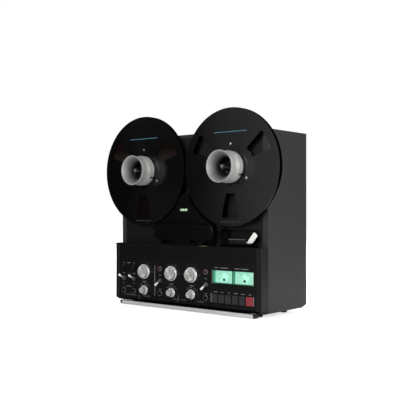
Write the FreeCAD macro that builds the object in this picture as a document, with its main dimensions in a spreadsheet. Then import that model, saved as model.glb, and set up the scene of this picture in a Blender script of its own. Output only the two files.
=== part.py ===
"""Reel-to-reel tape recorder, one named object per separate piece.

Lengths are millimetres.  X runs to the right and Z up when the machine is seen from the front,
so the front faces -Y.  Depths in the size list are counted from the front edge of the case and
`front_plane` moves them all, so that the whole stands centred over the origin.
"""
import FreeCAD
import Part

import os
import re

import Sketcher

SIZES = {
    # running gaps and fits
    "run_gap": 0.3, "shaft_fit": 0.06, "slide_fit": 0.3, "lay_gap": 0.15,
    # case
    "case_width": 452, "case_depth": 158, "case_height": 405.8, "foot_height": 11,
    "side_wall": 14, "floor_wall": 12, "roof_wall": 8, "bevel_depth": 18, "bevel_rise": 6.8,
    "ledge_width": 5, "ledge_depth": 5, "rear_recess": 8, "case_round": 1.5,
    "case_half": "=case_width / 2", "case_low": "=foot_height",
    "case_high": "=foot_height + case_height", "inner_half": "=case_half - side_wall",
    "inner_low": "=case_low + floor_wall", "inner_high": "=case_high - roof_wall",
    "ledge_back": "=case_depth - rear_recess", "ledge_front": "=ledge_back - ledge_depth",
    # feet
    "foot_radius": 8, "foot_chamfer": 1.5, "foot_inset": 36, "foot_front_y": 19,
    "foot_rear_gap": 42, "foot_x": "=case_half - foot_inset",
    "foot_rear_y": "=case_depth - foot_rear_gap",
    # control housing
    "housing_reach": 23.8, "housing_drop": 59.2, "slope_rise": 7, "slope_back": 11.8,
    "cheek_width": 15, "lip_rise": 14, "panel_recess": 1.1, "panel_thick": 2, "panel_drop": 33.7,
    "flange_thick": 3, "flange_low": 2.5, "flange_high": 4, "housing_roof": 4, "cheek_round": 1,
    "housing_front": "=-housing_reach",
    "housing_high": "=case_low + case_height / 2 - housing_drop",
    "cheek_inner": "=case_half - cheek_width", "lip_high": "=case_low + lip_rise",
    "panel_high": "=housing_high - panel_drop", "panel_rise": "=panel_high - lip_high",
    "panel_front": "=housing_front + panel_recess",
    "panel_back": "=panel_front + panel_thick", "flange_back": "=panel_back + flange_thick",
    "board_front": "=panel_back + body_depth",
    # panel columns and rows, as shares of the half width and of the height
    "column_a_out": -0.937, "column_b_out": -0.7716, "column_c_out": -0.3488,
    "column_d_out": 0.3289, "knob_a_out": -0.5948, "knob_b_out": -0.1711, "knob_c_out": 0.1242,
    "jack_up": 0.1198, "toggle_up": 0.4375, "lamp_up": 0.7396, "button_up": 0.7469,
    "level_up": 0.6427, "selector_up": 0.1688,
    "column_a": "=column_a_out * cheek_inner", "column_b": "=column_b_out * cheek_inner",
    "column_c": "=column_c_out * cheek_inner", "column_d": "=column_d_out * cheek_inner",
    "knob_a": "=knob_a_out * cheek_inner", "knob_b": "=knob_b_out * cheek_inner",
    "knob_c": "=knob_c_out * cheek_inner",
    "jack_z": "=lip_high + jack_up * panel_rise", "toggle_z": "=lip_high + toggle_up * panel_rise",
    "lamp_z": "=lip_high + lamp_up * panel_rise", "button_z": "=lip_high + button_up * panel_rise",
    "level_z": "=lip_high + level_up * panel_rise",
    "selector_z": "=lip_high + selector_up * panel_rise",
    # jacks
    "jack_bore": 3.2, "jack_tube": 5, "jack_nut": 6.6, "jack_nut_thick": 2, "jack_tube_proud": 2.6,
    "jack_body": 6.4, "jack_length": 28, "jack_end_wall": 1.5,
    # toggles
    "toggle_tube": 4, "toggle_bore": 3.1, "toggle_ball": 2.8, "toggle_nut": 5.6,
    "toggle_nut_thick": 1.6, "toggle_tube_proud": 2.6, "toggle_body_half": 6.4,
    "toggle_length": 18.3, "toggle_root": 1.6, "toggle_tip": 2.9, "toggle_tilt": 32,
    "toggle_bore_depth": 7, "toggle_tip_round": 1.4,
    # bodies behind the panel
    "body_depth": 14, "rotary_body": 10, "rotary_tube": 4.5, "rotary_tube_proud": 2,
    "knob_shaft": 3, "shaft_end_gap": 2, "board_thick": 1.6, "board_margin": 5,
    "board_web": 1.1, "board_high_gap": 7,
    # knobs
    "level_skirt": 18, "level_skirt_thick": 4, "level_cap": 16.2, "level_height": 10.7,
    "level_skirt_round": 1, "selector_skirt": 11.25, "selector_skirt_thick": 3.2,
    "selector_cap": 7.2, "selector_height": 12.7, "cap_chamfer": 0.8, "knob_hollow": 6,
    "knob_hollow_depth": 3.2, "pointer_half": 0.7, "pointer_depth": 0.4,
    # round push buttons
    "button_small": 4.6, "button_large": 6.8, "button_proud": 5, "button_flange": 1.4,
    "button_flange_thick": 1.5, "button_stem": 2, "button_travel": 2.5, "button_round": 0.8,
    "switch_wall": 1.5,
    # lamps
    "lamp_bezel": 6, "lamp_bezel_thick": 1.5, "lamp_lens": 3.5, "lamp_proud": 3.4,
    "lamp_body": 3.3, "lamp_depth": 9, "lamp_round": 1.6,
    # meters
    "meter_left_out": 0.4171, "meter_right_out": 0.9645, "divider_out": 0.6886,
    "pivot_a_out": 0.5583, "pivot_b_out": 0.8308, "meter_low_up": 0.4792,
    "meter_high_up": 0.8073, "divider_half": 1.2, "meter_rim": 1, "meter_wall": 2,
    "glass_thick": 1.8, "card_depth": 5, "pivot_rise": 9.6, "pivot_pin": 1, "needle_hub": 3.2,
    "needle_clear": 2.4, "needle_root": 0.7, "needle_tip": 0.3, "needle_thick": 0.8,
    "needle_tail": 5, "needle_lean": 42, "mask_rise": 2.4, "mask_thick": 1.2, "mask_gap": 1,
    "meter_left": "=meter_left_out * cheek_inner", "meter_right": "=meter_right_out * cheek_inner",
    "divider_x": "=divider_out * cheek_inner", "pivot_a": "=pivot_a_out * cheek_inner",
    "pivot_b": "=pivot_b_out * cheek_inner", "meter_low": "=lip_high + meter_low_up * panel_rise",
    "meter_high": "=lip_high + meter_high_up * panel_rise",
    "card_front": "=panel_back + card_depth", "pivot_z": "=meter_low + pivot_rise",
    "needle_length": "=meter_high - meter_rim - pivot_z - needle_clear",
    "needle_back": "=card_front - run_gap",
    "needle_front": "=needle_back - needle_thick",
    "mask_back": "=needle_front - mask_gap", "mask_front": "=mask_back - mask_thick",
    # transport keys
    "key_first_out": 0.4232, "key_end_out": 0.963, "key_low_up": 0.0344, "key_high_up": 0.2396,
    "key_count": 6, "key_gap": 1.9, "key_proud": 4, "key_flange": 2, "key_flange_thick": 2,
    "key_stem_half": 3, "key_travel": 3, "key_round": 0.8, "key_switch_half": 7,
    "key_first": "=key_first_out * cheek_inner", "key_end": "=key_end_out * cheek_inner",
    "key_pitch": "=(key_end - key_first + key_gap) / key_count",
    "key_width": "=key_pitch - key_gap", "key_low": "=lip_high + key_low_up * panel_rise",
    "key_high": "=lip_high + key_high_up * panel_rise", "key_front": "=panel_front - key_proud",
    "key_flange_front": "=panel_back + run_gap",
    "key_flange_back": "=key_flange_front + key_flange_thick",
    "key_switch_front": "=key_flange_back + key_travel + run_gap",
    "key_stem_back": "=key_switch_front + run_gap",
    "key_mid_z": "=(key_low + key_high) / 2",
    # deck plate and chassis
    "deck_inset": 1, "deck_thick": 3, "boss_height": 4, "boss_radius": 5, "chassis_thick": 4,
    "chassis_lap": 4.7, "boss_inset": 22, "boss_low_rise": 20.3, "boss_mid_rise": 107.3,
    "boss_drop": 10.8, "shaft_hole": 6, "boss_side": "=inner_half - boss_inset",
    "boss_low_z": "=housing_high + boss_low_rise", "boss_mid_z": "=housing_high + boss_mid_rise",
    "boss_high_z": "=inner_high - boss_drop",
    "deck_back": "=deck_inset + deck_thick", "deck_low": "=housing_high + run_gap",
    "deck_high": "=inner_high - run_gap", "deck_half": "=inner_half - run_gap",
    "chassis_front": "=deck_back + boss_height", "chassis_back": "=chassis_front + chassis_thick",
    "chassis_low": "=housing_high - chassis_lap",
    # reels and turntables
    "reel_gap": 3.5, "reel_rise": 179.8, "reel_radius": 133.35, "reel_bore": 38.1,
    "flange_sheet": 1.4, "tape_gap": 7.4, "reel_hub": 57, "window_inner": 59.4,
    "window_outer": 115, "window_inner_half": 12.3, "window_outer_half": 24.6,
    "window_round": 5, "window_count": 3, "key_notch": 3, "key_notch_half": 2.6,
    "tape_radius": 120, "tape_width": 6.3,
    "table_radius": 45, "table_thick": 4, "table_clear": 3.5, "table_boss": 9, "table_round": 1,
    "axle_radius": 4, "axle_length": 70, "wing_reach": 8.6, "wing_half": 1.5, "wing_end": 2,
    "spindle_length": 41.5, "spindle_chamfer": 1.5, "full_turn": 360,
    "reel_x": "=reel_radius + reel_gap / 2", "reel_z": "=housing_high + reel_rise",
    "table_back": "=deck_inset - table_clear", "table_front": "=table_back - table_thick",
    "reel_front": "=table_front - 2 * flange_sheet - tape_gap",
    # hub adapters
    "adapter_radius": 38, "adapter_length": 19, "adapter_chamfer": 1.6, "adapter_floor": 5.5,
    "adapter_well": 19.5, "neck_radius": 31, "neck_length": 3.5, "sleeve_fit": 0.08,
    "sleeve_band": 36.5, "sleeve_band_length": 3.2, "sleeve_waist": 33.3,
    "sleeve_waist_length": 14.2, "sleeve_rim": 36, "sleeve_length": 31.9, "sleeve_mouth": 34.4,
    "funnel_length": 26.7, "slot_clear": 0.3,
    "adapter_front": "=table_front - adapter_length", "neck_front": "=adapter_front - neck_length",
    "sleeve_back": "=adapter_front - run_gap", "sleeve_front": "=sleeve_back - sleeve_length",
    "front_plane": "=-(case_depth + sleeve_front) / 2",
    # motors
    "reel_motor": 50, "reel_motor_length": 75, "capstan_motor": 42, "capstan_motor_length": 80,
    "motor_round": 3, "flywheel_radius": 34, "flywheel_thick": 7,
    # capstan, heads, guides
    "capstan_x": 48, "capstan_rise": 40.8, "capstan_radius": 3.5, "capstan_reach": 19,
    "base_left": 88, "base_right": 80, "base_low_gap": 0.9, "base_rise": 49.4, "base_thick": 5,
    "head_half": 7, "head_rise": 9.7, "head_lift": 37.8, "head_depth": 14, "head_a": -50,
    "head_b": -22, "head_c": 6, "head_nose": 9, "head_shoulder": 4,
    "base_front": "=deck_inset - base_thick", "base_low": "=housing_high + base_low_gap",
    "base_high": "=base_low + base_rise", "head_high": "=head_low + head_rise",
    "guide_x": 103, "guide_rise": 43.3, "guide_flange": 6, "guide_waist": 4.8, "guide_length": 13,
    "guide_lip": 1.6, "guide_pin": 2, "guide_collar": 3.6, "guide_collar_length": 5.7,
    "guide_cap": 3.4, "guide_cap_length": 2.2, "post_radius": 2.8, "post_x": 74, "post_gap": 8,
    "post_depth": 14, "post_rise": 35.3, "capstan_z": "=housing_high + capstan_rise",
    "head_low": "=housing_high + head_lift", "guide_z": "=housing_high + guide_rise",
    "post_z": "=housing_high + post_rise",
    # pinch roller
    "arm_x": 72, "arm_rise": 9.3, "arm_length": 29.4, "arm_tilt": 9.2, "arm_thick": 3,
    "arm_pivot_boss": 6, "arm_roller_boss": 5.2, "arm_half": 3.4, "arm_stud": 3, "stud_cap": 4.6,
    "stud_cap_thick": 1.6, "roller_radius": 12.6, "roller_thick": 8, "roller_axle": 2.5,
    "roller_cap": 4, "roller_cap_thick": 1.6,
    "arm_z": "=housing_high + arm_rise", "arm_back": "=base_front - run_gap",
    "arm_front": "=arm_back - arm_thick",
    "roller_back": "=arm_front - run_gap", "roller_front": "=roller_back - roller_thick",
    "roller_x": "=arm_x - arm_length * cos(arm_tilt)",
    "roller_z": "=arm_z + arm_length * sin(arm_tilt)",
    # head covers and counter
    "cover_flank": 139.5, "cover_gap": 0.6, "cover_rise": 69.4, "cover_reach": 18.5,
    "cover_wall": 2, "cover_round": 1, "counter_half": 20.7, "counter_rise": 77.3,
    "counter_height": 11.7, "counter_lip": 1.8, "counter_lip_thick": 1.5,
    "cover_low": "=base_high + cover_gap", "cover_high": "=cover_low + cover_rise",
    "cover_low_half": "=reel_x - sqrt(cover_flank ^ 2 - (reel_z - cover_low) ^ 2)",
    "cover_high_half": "=reel_x - sqrt(cover_flank ^ 2 - (reel_z - cover_high) ^ 2)",
    "counter_low": "=housing_high + counter_rise", "counter_high": "=counter_low + counter_height",
    "flap_cover_half": 91, "flap_cover_lift": 12.8, "flap_cover_rise": 37,
    "flap_cover_front": -27, "flap_cover_back": -13, "flap_cover_round": 12,
    "flap_cover_wall": 2, "flap_cover_edge": 1, "flap_cut_depth": 5, "flap_cut_rest": 8,
    "tab_half": 25, "barrel_radius": 2.6, "barrel_half": 27.6, "hinge_pin": 1,
    "hinge_pin_reach": 4, "hinge_rise": 3.9, "hinge_post": 2.6, "hinge_post_end": 3,
    "flap_cover_low": "=housing_high + flap_cover_lift",
    "flap_cover_high": "=flap_cover_low + flap_cover_rise",
    "hinge_y": "=flap_cover_front + flap_cover_wall / 2", "hinge_z": "=housing_high + hinge_rise",
    "hinge_post_x": "=barrel_half + run_gap + hinge_post",
    # splicing recess
    "recess_gap": 14, "recess_margin": 4, "recess_lift": 2.8, "recess_rise": 36,
    "recess_round": 12, "tray_wall": 2, "tray_depth": 9, "tray_floor": 2, "tray_play": 0.2,
    "rail_clear": 3, "rail_stop": 7.3, "rail_lift": 2.5, "rail_rise": 14, "rail_front": -0.4,
    "rail_groove_half": 3.3, "rail_groove_depth": 1, "rail_round": 0.6, "sensor_gap": 1,
    "sensor_reach": 21, "sensor_round": 1.2, "sensor_front": -1,
    "lever_margin": 29.7, "lever_lift": 9.5, "lever_length": 21.2, "lever_width": 13,
    "lever_thick": 3, "lever_tilt": 52, "lever_back_reach": 5, "lever_post": 6, "lever_pin": 1.8,
    "lever_cap": 3.4, "lever_cap_thick": 1, "lever_round": 2,
    "recess_left": "=base_right + recess_gap", "recess_right": "=inner_half - recess_margin",
    "recess_low": "=housing_high + recess_lift", "recess_high": "=recess_low + recess_rise",
    "sensor_right": "=recess_left + sensor_reach", "lever_x": "=recess_right - lever_margin",
    "lever_z": "=recess_low + lever_lift", "rail_left": "=sensor_right + rail_clear",
    "rail_right": "=lever_x - rail_stop", "rail_low": "=recess_low + rail_lift",
    "rail_high": "=rail_low + rail_rise", "tray_back": "=deck_back + tray_depth",
    "tray_floor_y": "=tray_back - tray_floor",
    "lever_back": "=rail_front - run_gap", "lever_front": "=lever_back - lever_thick",
    # flap under the case
    "flap_thick": 2.5, "flap_length": 116, "bar_height": 8.8, "bar_depth": 12.5,
    "bar_front": 24.5, "bar_round": 1.5, "bar_end_round": 4, "runner_front": 30,
    "runner_length": 70, "runner_web": 2,
    "runner_hook": 4, "runner_thick": 1.5,
    "flap_half": "=foot_x - foot_radius - runner_web - 2 * run_gap", "rail_half": "=cheek_inner",
    "flap_high": "=case_low - run_gap", "flap_low": "=flap_high - flap_thick",
    "bar_high": "=flap_high", "bar_low": "=bar_high - bar_height",
    "bar_back": "=bar_depth - bar_front",
    # inside and back
    "back_thick": 2.5, "vent_width": 90, "vent_height": 4, "vent_pitch": 10, "vent_count": 9,
    "vent_drop": 118.8, "vent_x": 105, "core_margin": 32, "core_width": 84, "core_front": 46,
    "core_depth": 60, "core_height": 70, "coil_inset": 14, "coil_bulge": 12, "coil_low": 12,
    "base_board_thick": 2, "base_board_lift": 4, "base_board_inset": 22, "base_board_right": 60,
    "base_board_front": 20, "base_board_back": 120, "card_height": 90, "card_width": 1.6,
    "card_pitch": 34, "card_count": 5, "card_inset": 14, "stand_radius": 3, "stand_inset": 8,
    "vent_low": "=inner_high - vent_drop", "core_left": "=inner_half - core_margin - core_width",
    "base_board_left": "=inner_half - base_board_inset", "back_front": "=ledge_back",
    "back_rear": "=back_front + back_thick",
    "socket_plate_half": 34, "socket_plate_height": 34, "socket_plate_low": 40,
    "socket_plate_x": -120, "socket_plate_thick": 1.5, "socket_radius": 4.2, "socket_bore": 1.7,
    "socket_length": 3.8, "socket_pitch": 18, "inlet_x": 120, "inlet_low": 44,
    "inlet_width": 30, "inlet_height": 22, "inlet_wall": 3, "inlet_depth": 16, "inlet_lip": 3,
    "inlet_lip_thick": 2, "prong_half": 1, "prong_length": 10, "prong_pitch": 7,
    "fuse_radius": 6, "fuse_length": 5, "fuse_gap": 34,
}

document = FreeCAD.newDocument("TapeRecorder")
sheet = document.addObject("Spreadsheet::Sheet", "Sizes")
pieces = []
ORIGIN_POINT = (-1, 1)
TINY = 0.001


def fill_sheet():
    """Write every named size into its own cell and give the cell that name."""
    for row, (name, size) in enumerate(SIZES.items(), start=1):
        cell = "A%d" % row
        sheet.set(cell, str(size))
        sheet.setAlias(cell, name)
    document.recompute()


def scoped(text):
    """Point every size name in an expression at the sheet."""
    return re.sub(r"[a-z_]{2,}", lambda word: "Sizes." + word[0] if word[0] in SIZES else word[0],
                  str(text))


def value(text):
    """The present number behind an expression."""
    return float(sheet.evalExpression(scoped(text)))


def new_body(label):
    body = document.addObject("PartDesign::Body", label)
    body.Label = label
    return body


def new_sketch(body, plane, offset):
    """Attach a sketch flat to one of the body's own planes at a distance along its normal."""
    sketch = body.newObject("Sketcher::SketchObject", body.Label + "_sketch")
    base = [item for item in body.Origin.OriginFeatures if item.Role == plane][0]
    sketch.AttachmentSupport = [(base, "")]
    sketch.MapMode = "FlatFace"
    sketch.setExpression("AttachmentOffset.Base.z", scoped(offset))
    return sketch


def pin_point(sketch, item, vertex, across, up):
    """Fix a point of a sketch at two expressions measured from the sketch origin."""
    for kind, text in (("DistanceX", across), ("DistanceY", up)):
        index = sketch.addConstraint(
            Sketcher.Constraint(kind, *ORIGIN_POINT, item, vertex, value(text)))
        sketch.setExpression("Constraints[%d]" % index, scoped(text))


def pin_radius(sketch, item, radius):
    index = sketch.addConstraint(Sketcher.Constraint("Radius", item, value(radius)))
    sketch.setExpression("Constraints[%d]" % index, scoped(radius))


def disc(across, up, radius):
    """A drawing of a full circle."""
    def draw(sketch):
        centre = FreeCAD.Vector(value(across), value(up), 0)
        item = sketch.addGeometry(Part.Circle(centre, FreeCAD.Vector(0, 0, 1), value(radius)), False)
        pin_point(sketch, item, 3, across, up)
        pin_radius(sketch, item, radius)
    return draw


def hollow_side(start, end, centre, radius):
    """The short arc of a known circle between two corners."""
    middle = (start + end) / 2
    outward = (middle - centre).normalize()
    return Part.Arc(start, centre + outward * radius, end)


def outline(corners, arcs=None):
    """A drawing of a closed outline; `arcs` bends the side after a corner about a centre."""
    arcs = arcs or {}

    def draw(sketch):
        points = [FreeCAD.Vector(value(across), value(up), 0) for across, up in corners]
        first = sketch.GeometryCount
        count = len(points)
        swapped = set()
        for index, point in enumerate(points):
            following = points[(index + 1) % count]
            if index in arcs:
                across, up, radius = arcs[index]
                centre = FreeCAD.Vector(value(across), value(up), 0)
                curve = hollow_side(point, following, centre, value(radius))
                item = sketch.addGeometry(curve, False)
                start = sketch.getPoint(item, 1)
                if (start - point).Length > TINY:
                    swapped.add(index)
                pin_radius(sketch, item, radius)
            else:
                sketch.addGeometry(Part.LineSegment(point, following), False)
        for index in range(count):
            after = (index + 1) % count
            tail = 1 if index in swapped else 2
            head = 2 if after in swapped else 1
            sketch.addConstraint(
                Sketcher.Constraint("Coincident", first + index, tail, first + after, head))
        for index, (across, up) in enumerate(corners):
            head = 2 if index in swapped else 1
            pin_point(sketch, first + index, head, across, up)
    return draw


def rectangle(left, right, low, high):
    return outline([(left, low), (right, low), (right, high), (left, high)])


def extrude(body, drawings, front, back, plane="XZ_Plane", cut=False):
    """Pad or pocket drawings between two depths along the plane's own axis.

    On the XZ plane the front is the smaller Y; on the other planes the material starts at
    `front` and ends at `back` along +X or +Z.
    """
    if plane == "XZ_Plane":
        offset = "-(%s)" % (front if cut else back)
    else:
        offset = back if cut else front
    sketch = new_sketch(body, plane, offset)
    for drawing in drawings:
        drawing(sketch)
    kind = "PartDesign::Pocket" if cut else "PartDesign::Pad"
    feature = body.newObject(kind, body.Label + ("_cut" if cut else "_solid"))
    feature.Profile = sketch
    feature.setExpression("Length", scoped("(%s) - (%s)" % (back, front)))
    document.recompute()
    return feature


def turn(body, corners, upright=False, arcs=None):
    """Revolve an outline of (radius, distance) corners about the Y axis, or Z when upright."""
    sketch = new_sketch(body, "XZ_Plane" if upright else "XY_Plane", "0")
    outline(corners, arcs)(sketch)
    feature = body.newObject("PartDesign::Revolution", body.Label + "_turned")
    feature.Profile = sketch
    feature.ReferenceAxis = (sketch, ["V_Axis"])
    feature.setExpression("Angle", scoped("full_turn"))
    document.recompute()
    return feature


def repeat_round(body, feature, count):
    """Repeat a feature evenly about the Y axis."""
    pattern = body.newObject("PartDesign::PolarPattern", body.Label + "_round")
    pattern.Originals = [feature]
    pattern.Axis = (feature.Profile[0], ["N_Axis"])
    pattern.setExpression("Angle", scoped("full_turn"))
    pattern.setExpression("Occurrences", scoped(count))
    body.Tip = pattern
    document.recompute()
    return pattern


def repeat_along(body, feature, axis, length, count):
    """Repeat a feature in a straight row over a length."""
    pattern = body.newObject("PartDesign::LinearPattern", body.Label + "_row")
    pattern.Originals = [feature]
    pattern.Direction = (feature.Profile[0], [axis])
    pattern.setExpression("Length", scoped(length))
    pattern.setExpression("Occurrences", scoped(count))
    body.Tip = pattern
    document.recompute()
    return pattern


def spans(edge, axis):
    """Whether a straight edge runs along the axis named."""
    box = edge.BoundBox
    lengths = {"x": box.XLength, "y": box.YLength, "z": box.ZLength}
    return lengths.pop(axis) > TINY and max(lengths.values()) < TINY


def lies_at(shape, places):
    """Whether a sub-shape's middle lies at the absolute coordinates given."""
    middle = shape.CenterOfMass
    return all(abs(abs(getattr(middle, axis)) - abs(value(text))) < TINY
               for axis, text in places.items())


def edge_names(body, chosen):
    return ["Edge%d" % (index + 1) for index, edge in enumerate(body.Tip.Shape.Edges)
            if chosen(edge)]


def straight_edges(body, axis, **places):
    return edge_names(body, lambda edge: spans(edge, axis) and lies_at(edge, places))


def round_edges(body, names, radius, flat=False):
    """Fillet, or chamfer when flat, the named edges of the body's last feature."""
    base = body.Tip
    kind = "PartDesign::Chamfer" if flat else "PartDesign::Fillet"
    feature = body.newObject(kind, body.Label + "_edge")
    feature.Base = (base, names)
    feature.setExpression("Size" if flat else "Radius", scoped(radius))
    document.recompute()
    return feature


def rim_at(body, depth):
    """Edges that lie wholly in the plane at this distance along Y."""
    return edge_names(body, lambda edge: edge.BoundBox.YLength < TINY
                      and abs(edge.BoundBox.YMin - value(depth)) < TINY)


def shell(body, back, wall):
    """Hollow a body out behind its front, open at the depth named."""
    base = body.Tip
    names = ["Face%d" % (index + 1) for index, face in enumerate(base.Shape.Faces)
             if face.BoundBox.YLength < TINY and abs(face.CenterOfMass.y - value(back)) < TINY]
    feature = body.newObject("PartDesign::Thickness", body.Label + "_shell")
    feature.Base = (base, names)
    feature.Reversed = True
    feature.Join = 1
    feature.setExpression("Value", scoped(wall))
    document.recompute()
    return feature


def shift(item, across="0", depth="0", up="0", lean=None):
    """Bind a placement: distances along X, Y and Z and a lean about Y or X."""
    if lean:
        axis, angle = lean
        item.Placement = FreeCAD.Placement(FreeCAD.Vector(), FreeCAD.Rotation(axis, value(angle)))
        item.setExpression("Placement.Rotation.Angle", scoped(angle))
    for letter, text in (("x", across), ("y", depth), ("z", up)):
        item.setExpression("Placement.Base." + letter, scoped(text))


def seat(item, across="0", depth="0", up="0", lean=None):
    """Place a finished piece in the machine and list it for export."""
    shift(item, across, "front_plane + (%s)" % depth, up, lean)
    pieces.append(item)


def gather(label, bodies):
    """One node made of several loose solids."""
    group = document.addObject("Part::Compound", label)
    group.Label = label
    group.Links = bodies
    seat(group)


def cabinet():
    """The case, a tube open to the front and back, with the runners of the sliding flap."""
    body = new_body("cabinet")
    extrude(body, [outline([
        ("0", "case_low"), ("case_depth - bevel_depth", "case_low"),
        ("case_depth", "case_low + bevel_rise"), ("case_depth", "case_high"),
        ("0", "case_high")])], "-case_half", "case_half", plane="YZ_Plane")
    round_edges(body, straight_edges(body, "y", x="case_half", z="case_high"), "case_round")
    extrude(body, [rectangle("-inner_half", "inner_half", "inner_low", "inner_high")],
            "0", "ledge_front", cut=True)
    extrude(body, [rectangle("ledge_width - inner_half", "inner_half - ledge_width",
                             "inner_low + ledge_width", "inner_high - ledge_width")],
            "ledge_front", "ledge_back", cut=True)
    extrude(body, [rectangle("-inner_half", "inner_half", "inner_low", "inner_high")],
            "ledge_back", "case_depth", cut=True)
    for side in ("", "-"):
        near, far = side + "(flap_half + run_gap)", side + "(flap_half + run_gap + runner_web)"
        hook = side + "(flap_half - runner_hook)"
        low, high = "flap_low - run_gap - runner_thick", "flap_low - run_gap"
        extrude(body, [outline([(near, "case_low"), (far, "case_low"), (far, low), (hook, low),
                                (hook, high), (near, high)])],
                "runner_front", "runner_front + runner_length")
    seat(body)


def cabinet_feet():
    feet = []
    for side in ("-foot_x", "foot_x"):
        for depth in ("foot_front_y", "foot_rear_y"):
            foot = new_body("foot")
            turn(foot, [("0", "0"), ("foot_radius - foot_chamfer", "0"),
                        ("foot_radius", "foot_chamfer"), ("foot_radius", "foot_height"),
                        ("0", "foot_height")], upright=True)
            shift(foot, side, depth)
            feet.append(foot)
    gather("cabinet_feet", feet)


def control_housing():
    """The shell that stands in front of the lower case, with a flange for the panel."""
    body = new_body("control_housing")
    extrude(body, [outline([
        ("housing_front", "case_low + slope_rise"), ("housing_front + slope_back", "case_low"),
        ("0", "case_low"), ("0", "housing_high"), ("housing_front", "housing_high")])],
        "-case_half", "case_half", plane="YZ_Plane")
    round_edges(body, straight_edges(body, "z", x="case_half", y="housing_front"), "cheek_round")
    extrude(body, [rectangle("-cheek_inner", "cheek_inner", "lip_high", "housing_high")],
            "housing_front", "panel_front", cut=True)
    extrude(body, [rectangle("-cheek_inner", "cheek_inner", "lip_high", "panel_high")],
            "panel_front", "panel_back", cut=True)
    extrude(body, [rectangle("-cheek_inner", "cheek_inner", "lip_high + flange_low",
                             "panel_high - flange_high")], "panel_back", "flange_back", cut=True)
    extrude(body, [rectangle("-cheek_inner", "cheek_inner", "lip_high",
                             "housing_high - housing_roof")], "flange_back", "0", cut=True)
    seat(body)


def control_panel():
    """The panel plate with a hole for everything that comes through it."""
    body = new_body("control_panel")
    extrude(body, [rectangle("lay_gap - cheek_inner", "cheek_inner - lay_gap",
                             "lip_high + lay_gap", "panel_high - lay_gap")],
            "panel_front", "panel_back")
    holes = [disc(column, "jack_z", "jack_tube + lay_gap")
             for column in ("column_a", "column_b", "column_c", "column_d")]
    holes += [disc(column, "toggle_z", "toggle_tube + lay_gap")
              for column in ("column_a", "column_b", "column_c", "column_d")]
    holes += [disc(column, "lamp_z", "lamp_body + lay_gap") for column in ("column_c", "column_d")]
    holes += [disc(column, row, "rotary_tube + lay_gap")
              for column in ("knob_a", "knob_b", "knob_c") for row in ("level_z", "selector_z")]
    holes += [disc("column_a", "button_z", "button_small + slide_fit"),
              disc("column_b", "button_z", "button_large + slide_fit")]
    extrude(body, holes, "panel_front", "panel_back", cut=True)
    extrude(body, [rectangle("meter_left", "meter_right", "meter_low", "meter_high"),
                   rectangle("key_first - slide_fit", "key_end + slide_fit",
                             "key_low - slide_fit", "key_high + slide_fit")],
            "panel_front", "panel_back", cut=True)
    seat(body)


def deck_plate():
    body = new_body("deck_plate")
    extrude(body, [rectangle("-deck_half", "deck_half", "deck_low", "deck_high")],
            "deck_inset", "deck_back")
    extrude(body, [disc("-reel_x", "reel_z", "shaft_hole"), disc("reel_x", "reel_z", "shaft_hole"),
                   disc("capstan_x", "capstan_z", "shaft_hole")],
            "deck_inset", "deck_back", cut=True)
    extrude(body, [rectangle("recess_left", "recess_right", "recess_low", "recess_high")],
            "deck_inset", "deck_back", cut=True)
    round_edges(body, straight_edges(body, "y", x="recess_right", z="recess_low")
                + straight_edges(body, "y", x="recess_right", z="recess_high"), "recess_round")
    seat(body)


def chassis_frame():
    """The plate behind the deck that carries the motors, on bosses that hold the deck plate."""
    body = new_body("chassis_frame")
    extrude(body, [rectangle("-inner_half", "inner_half", "chassis_low",
                             "inner_high - run_gap")], "chassis_front", "chassis_back")
    extrude(body, [disc(side, row, "boss_radius")
                   for side in ("-boss_side", "boss_side") for row in ("boss_mid_z", "boss_high_z")]
            + [disc("-boss_side", "boss_low_z", "boss_radius"),
               disc("0", "boss_low_z", "boss_radius"), disc("0", "boss_high_z", "boss_radius")],
            "deck_back", "chassis_front")
    extrude(body, [disc("-reel_x", "reel_z", "shaft_hole"), disc("reel_x", "reel_z", "shaft_hole"),
                   disc("capstan_x", "capstan_z", "shaft_hole")],
            "deck_back", "chassis_back", cut=True)
    extrude(body, [rectangle("recess_left - tray_wall - run_gap",
                             "inner_half - run_gap",
                             "recess_low - tray_wall - run_gap",
                             "recess_high + tray_wall + run_gap")],
            "deck_back", "chassis_back", cut=True)
    seat(body)


def splicing_block():
    """The tray behind the recess with the splicing rail and the post of the cutter lever."""
    body = new_body("splicing_block")
    right = "recess_right + tray_wall"
    extrude(body, [rectangle("recess_left - tray_wall", right, "recess_low - tray_wall",
                             "recess_high + tray_wall")], "deck_back", "tray_back")
    extrude(body, [rectangle("recess_left", "recess_right", "recess_low", "recess_high")],
            "deck_back", "tray_floor_y", cut=True)
    round_edges(body, straight_edges(body, "y", x="recess_right"), "recess_round")
    round_edges(body, straight_edges(body, "y", x=right), "recess_round + tray_wall")
    extrude(body, [rectangle("rail_left", "rail_right", "rail_low", "rail_high")],
            "rail_front", "tray_floor_y")
    middle = "(rail_low + rail_high) / 2"
    extrude(body, [rectangle("rail_left", "rail_right", middle + " - rail_groove_half",
                             middle + " + rail_groove_half")],
            "rail_front", "rail_front + rail_groove_depth", cut=True)
    extrude(body, [disc("lever_x", "lever_z", "lever_post")], "rail_front", "tray_floor_y")
    extrude(body, [disc("lever_x", "lever_z", "lever_pin")],
            "lever_front - run_gap - lever_cap_thick", "rail_front")
    extrude(body, [disc("lever_x", "lever_z", "lever_cap")],
            "lever_front - run_gap - lever_cap_thick", "lever_front - run_gap")
    seat(body)


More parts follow.
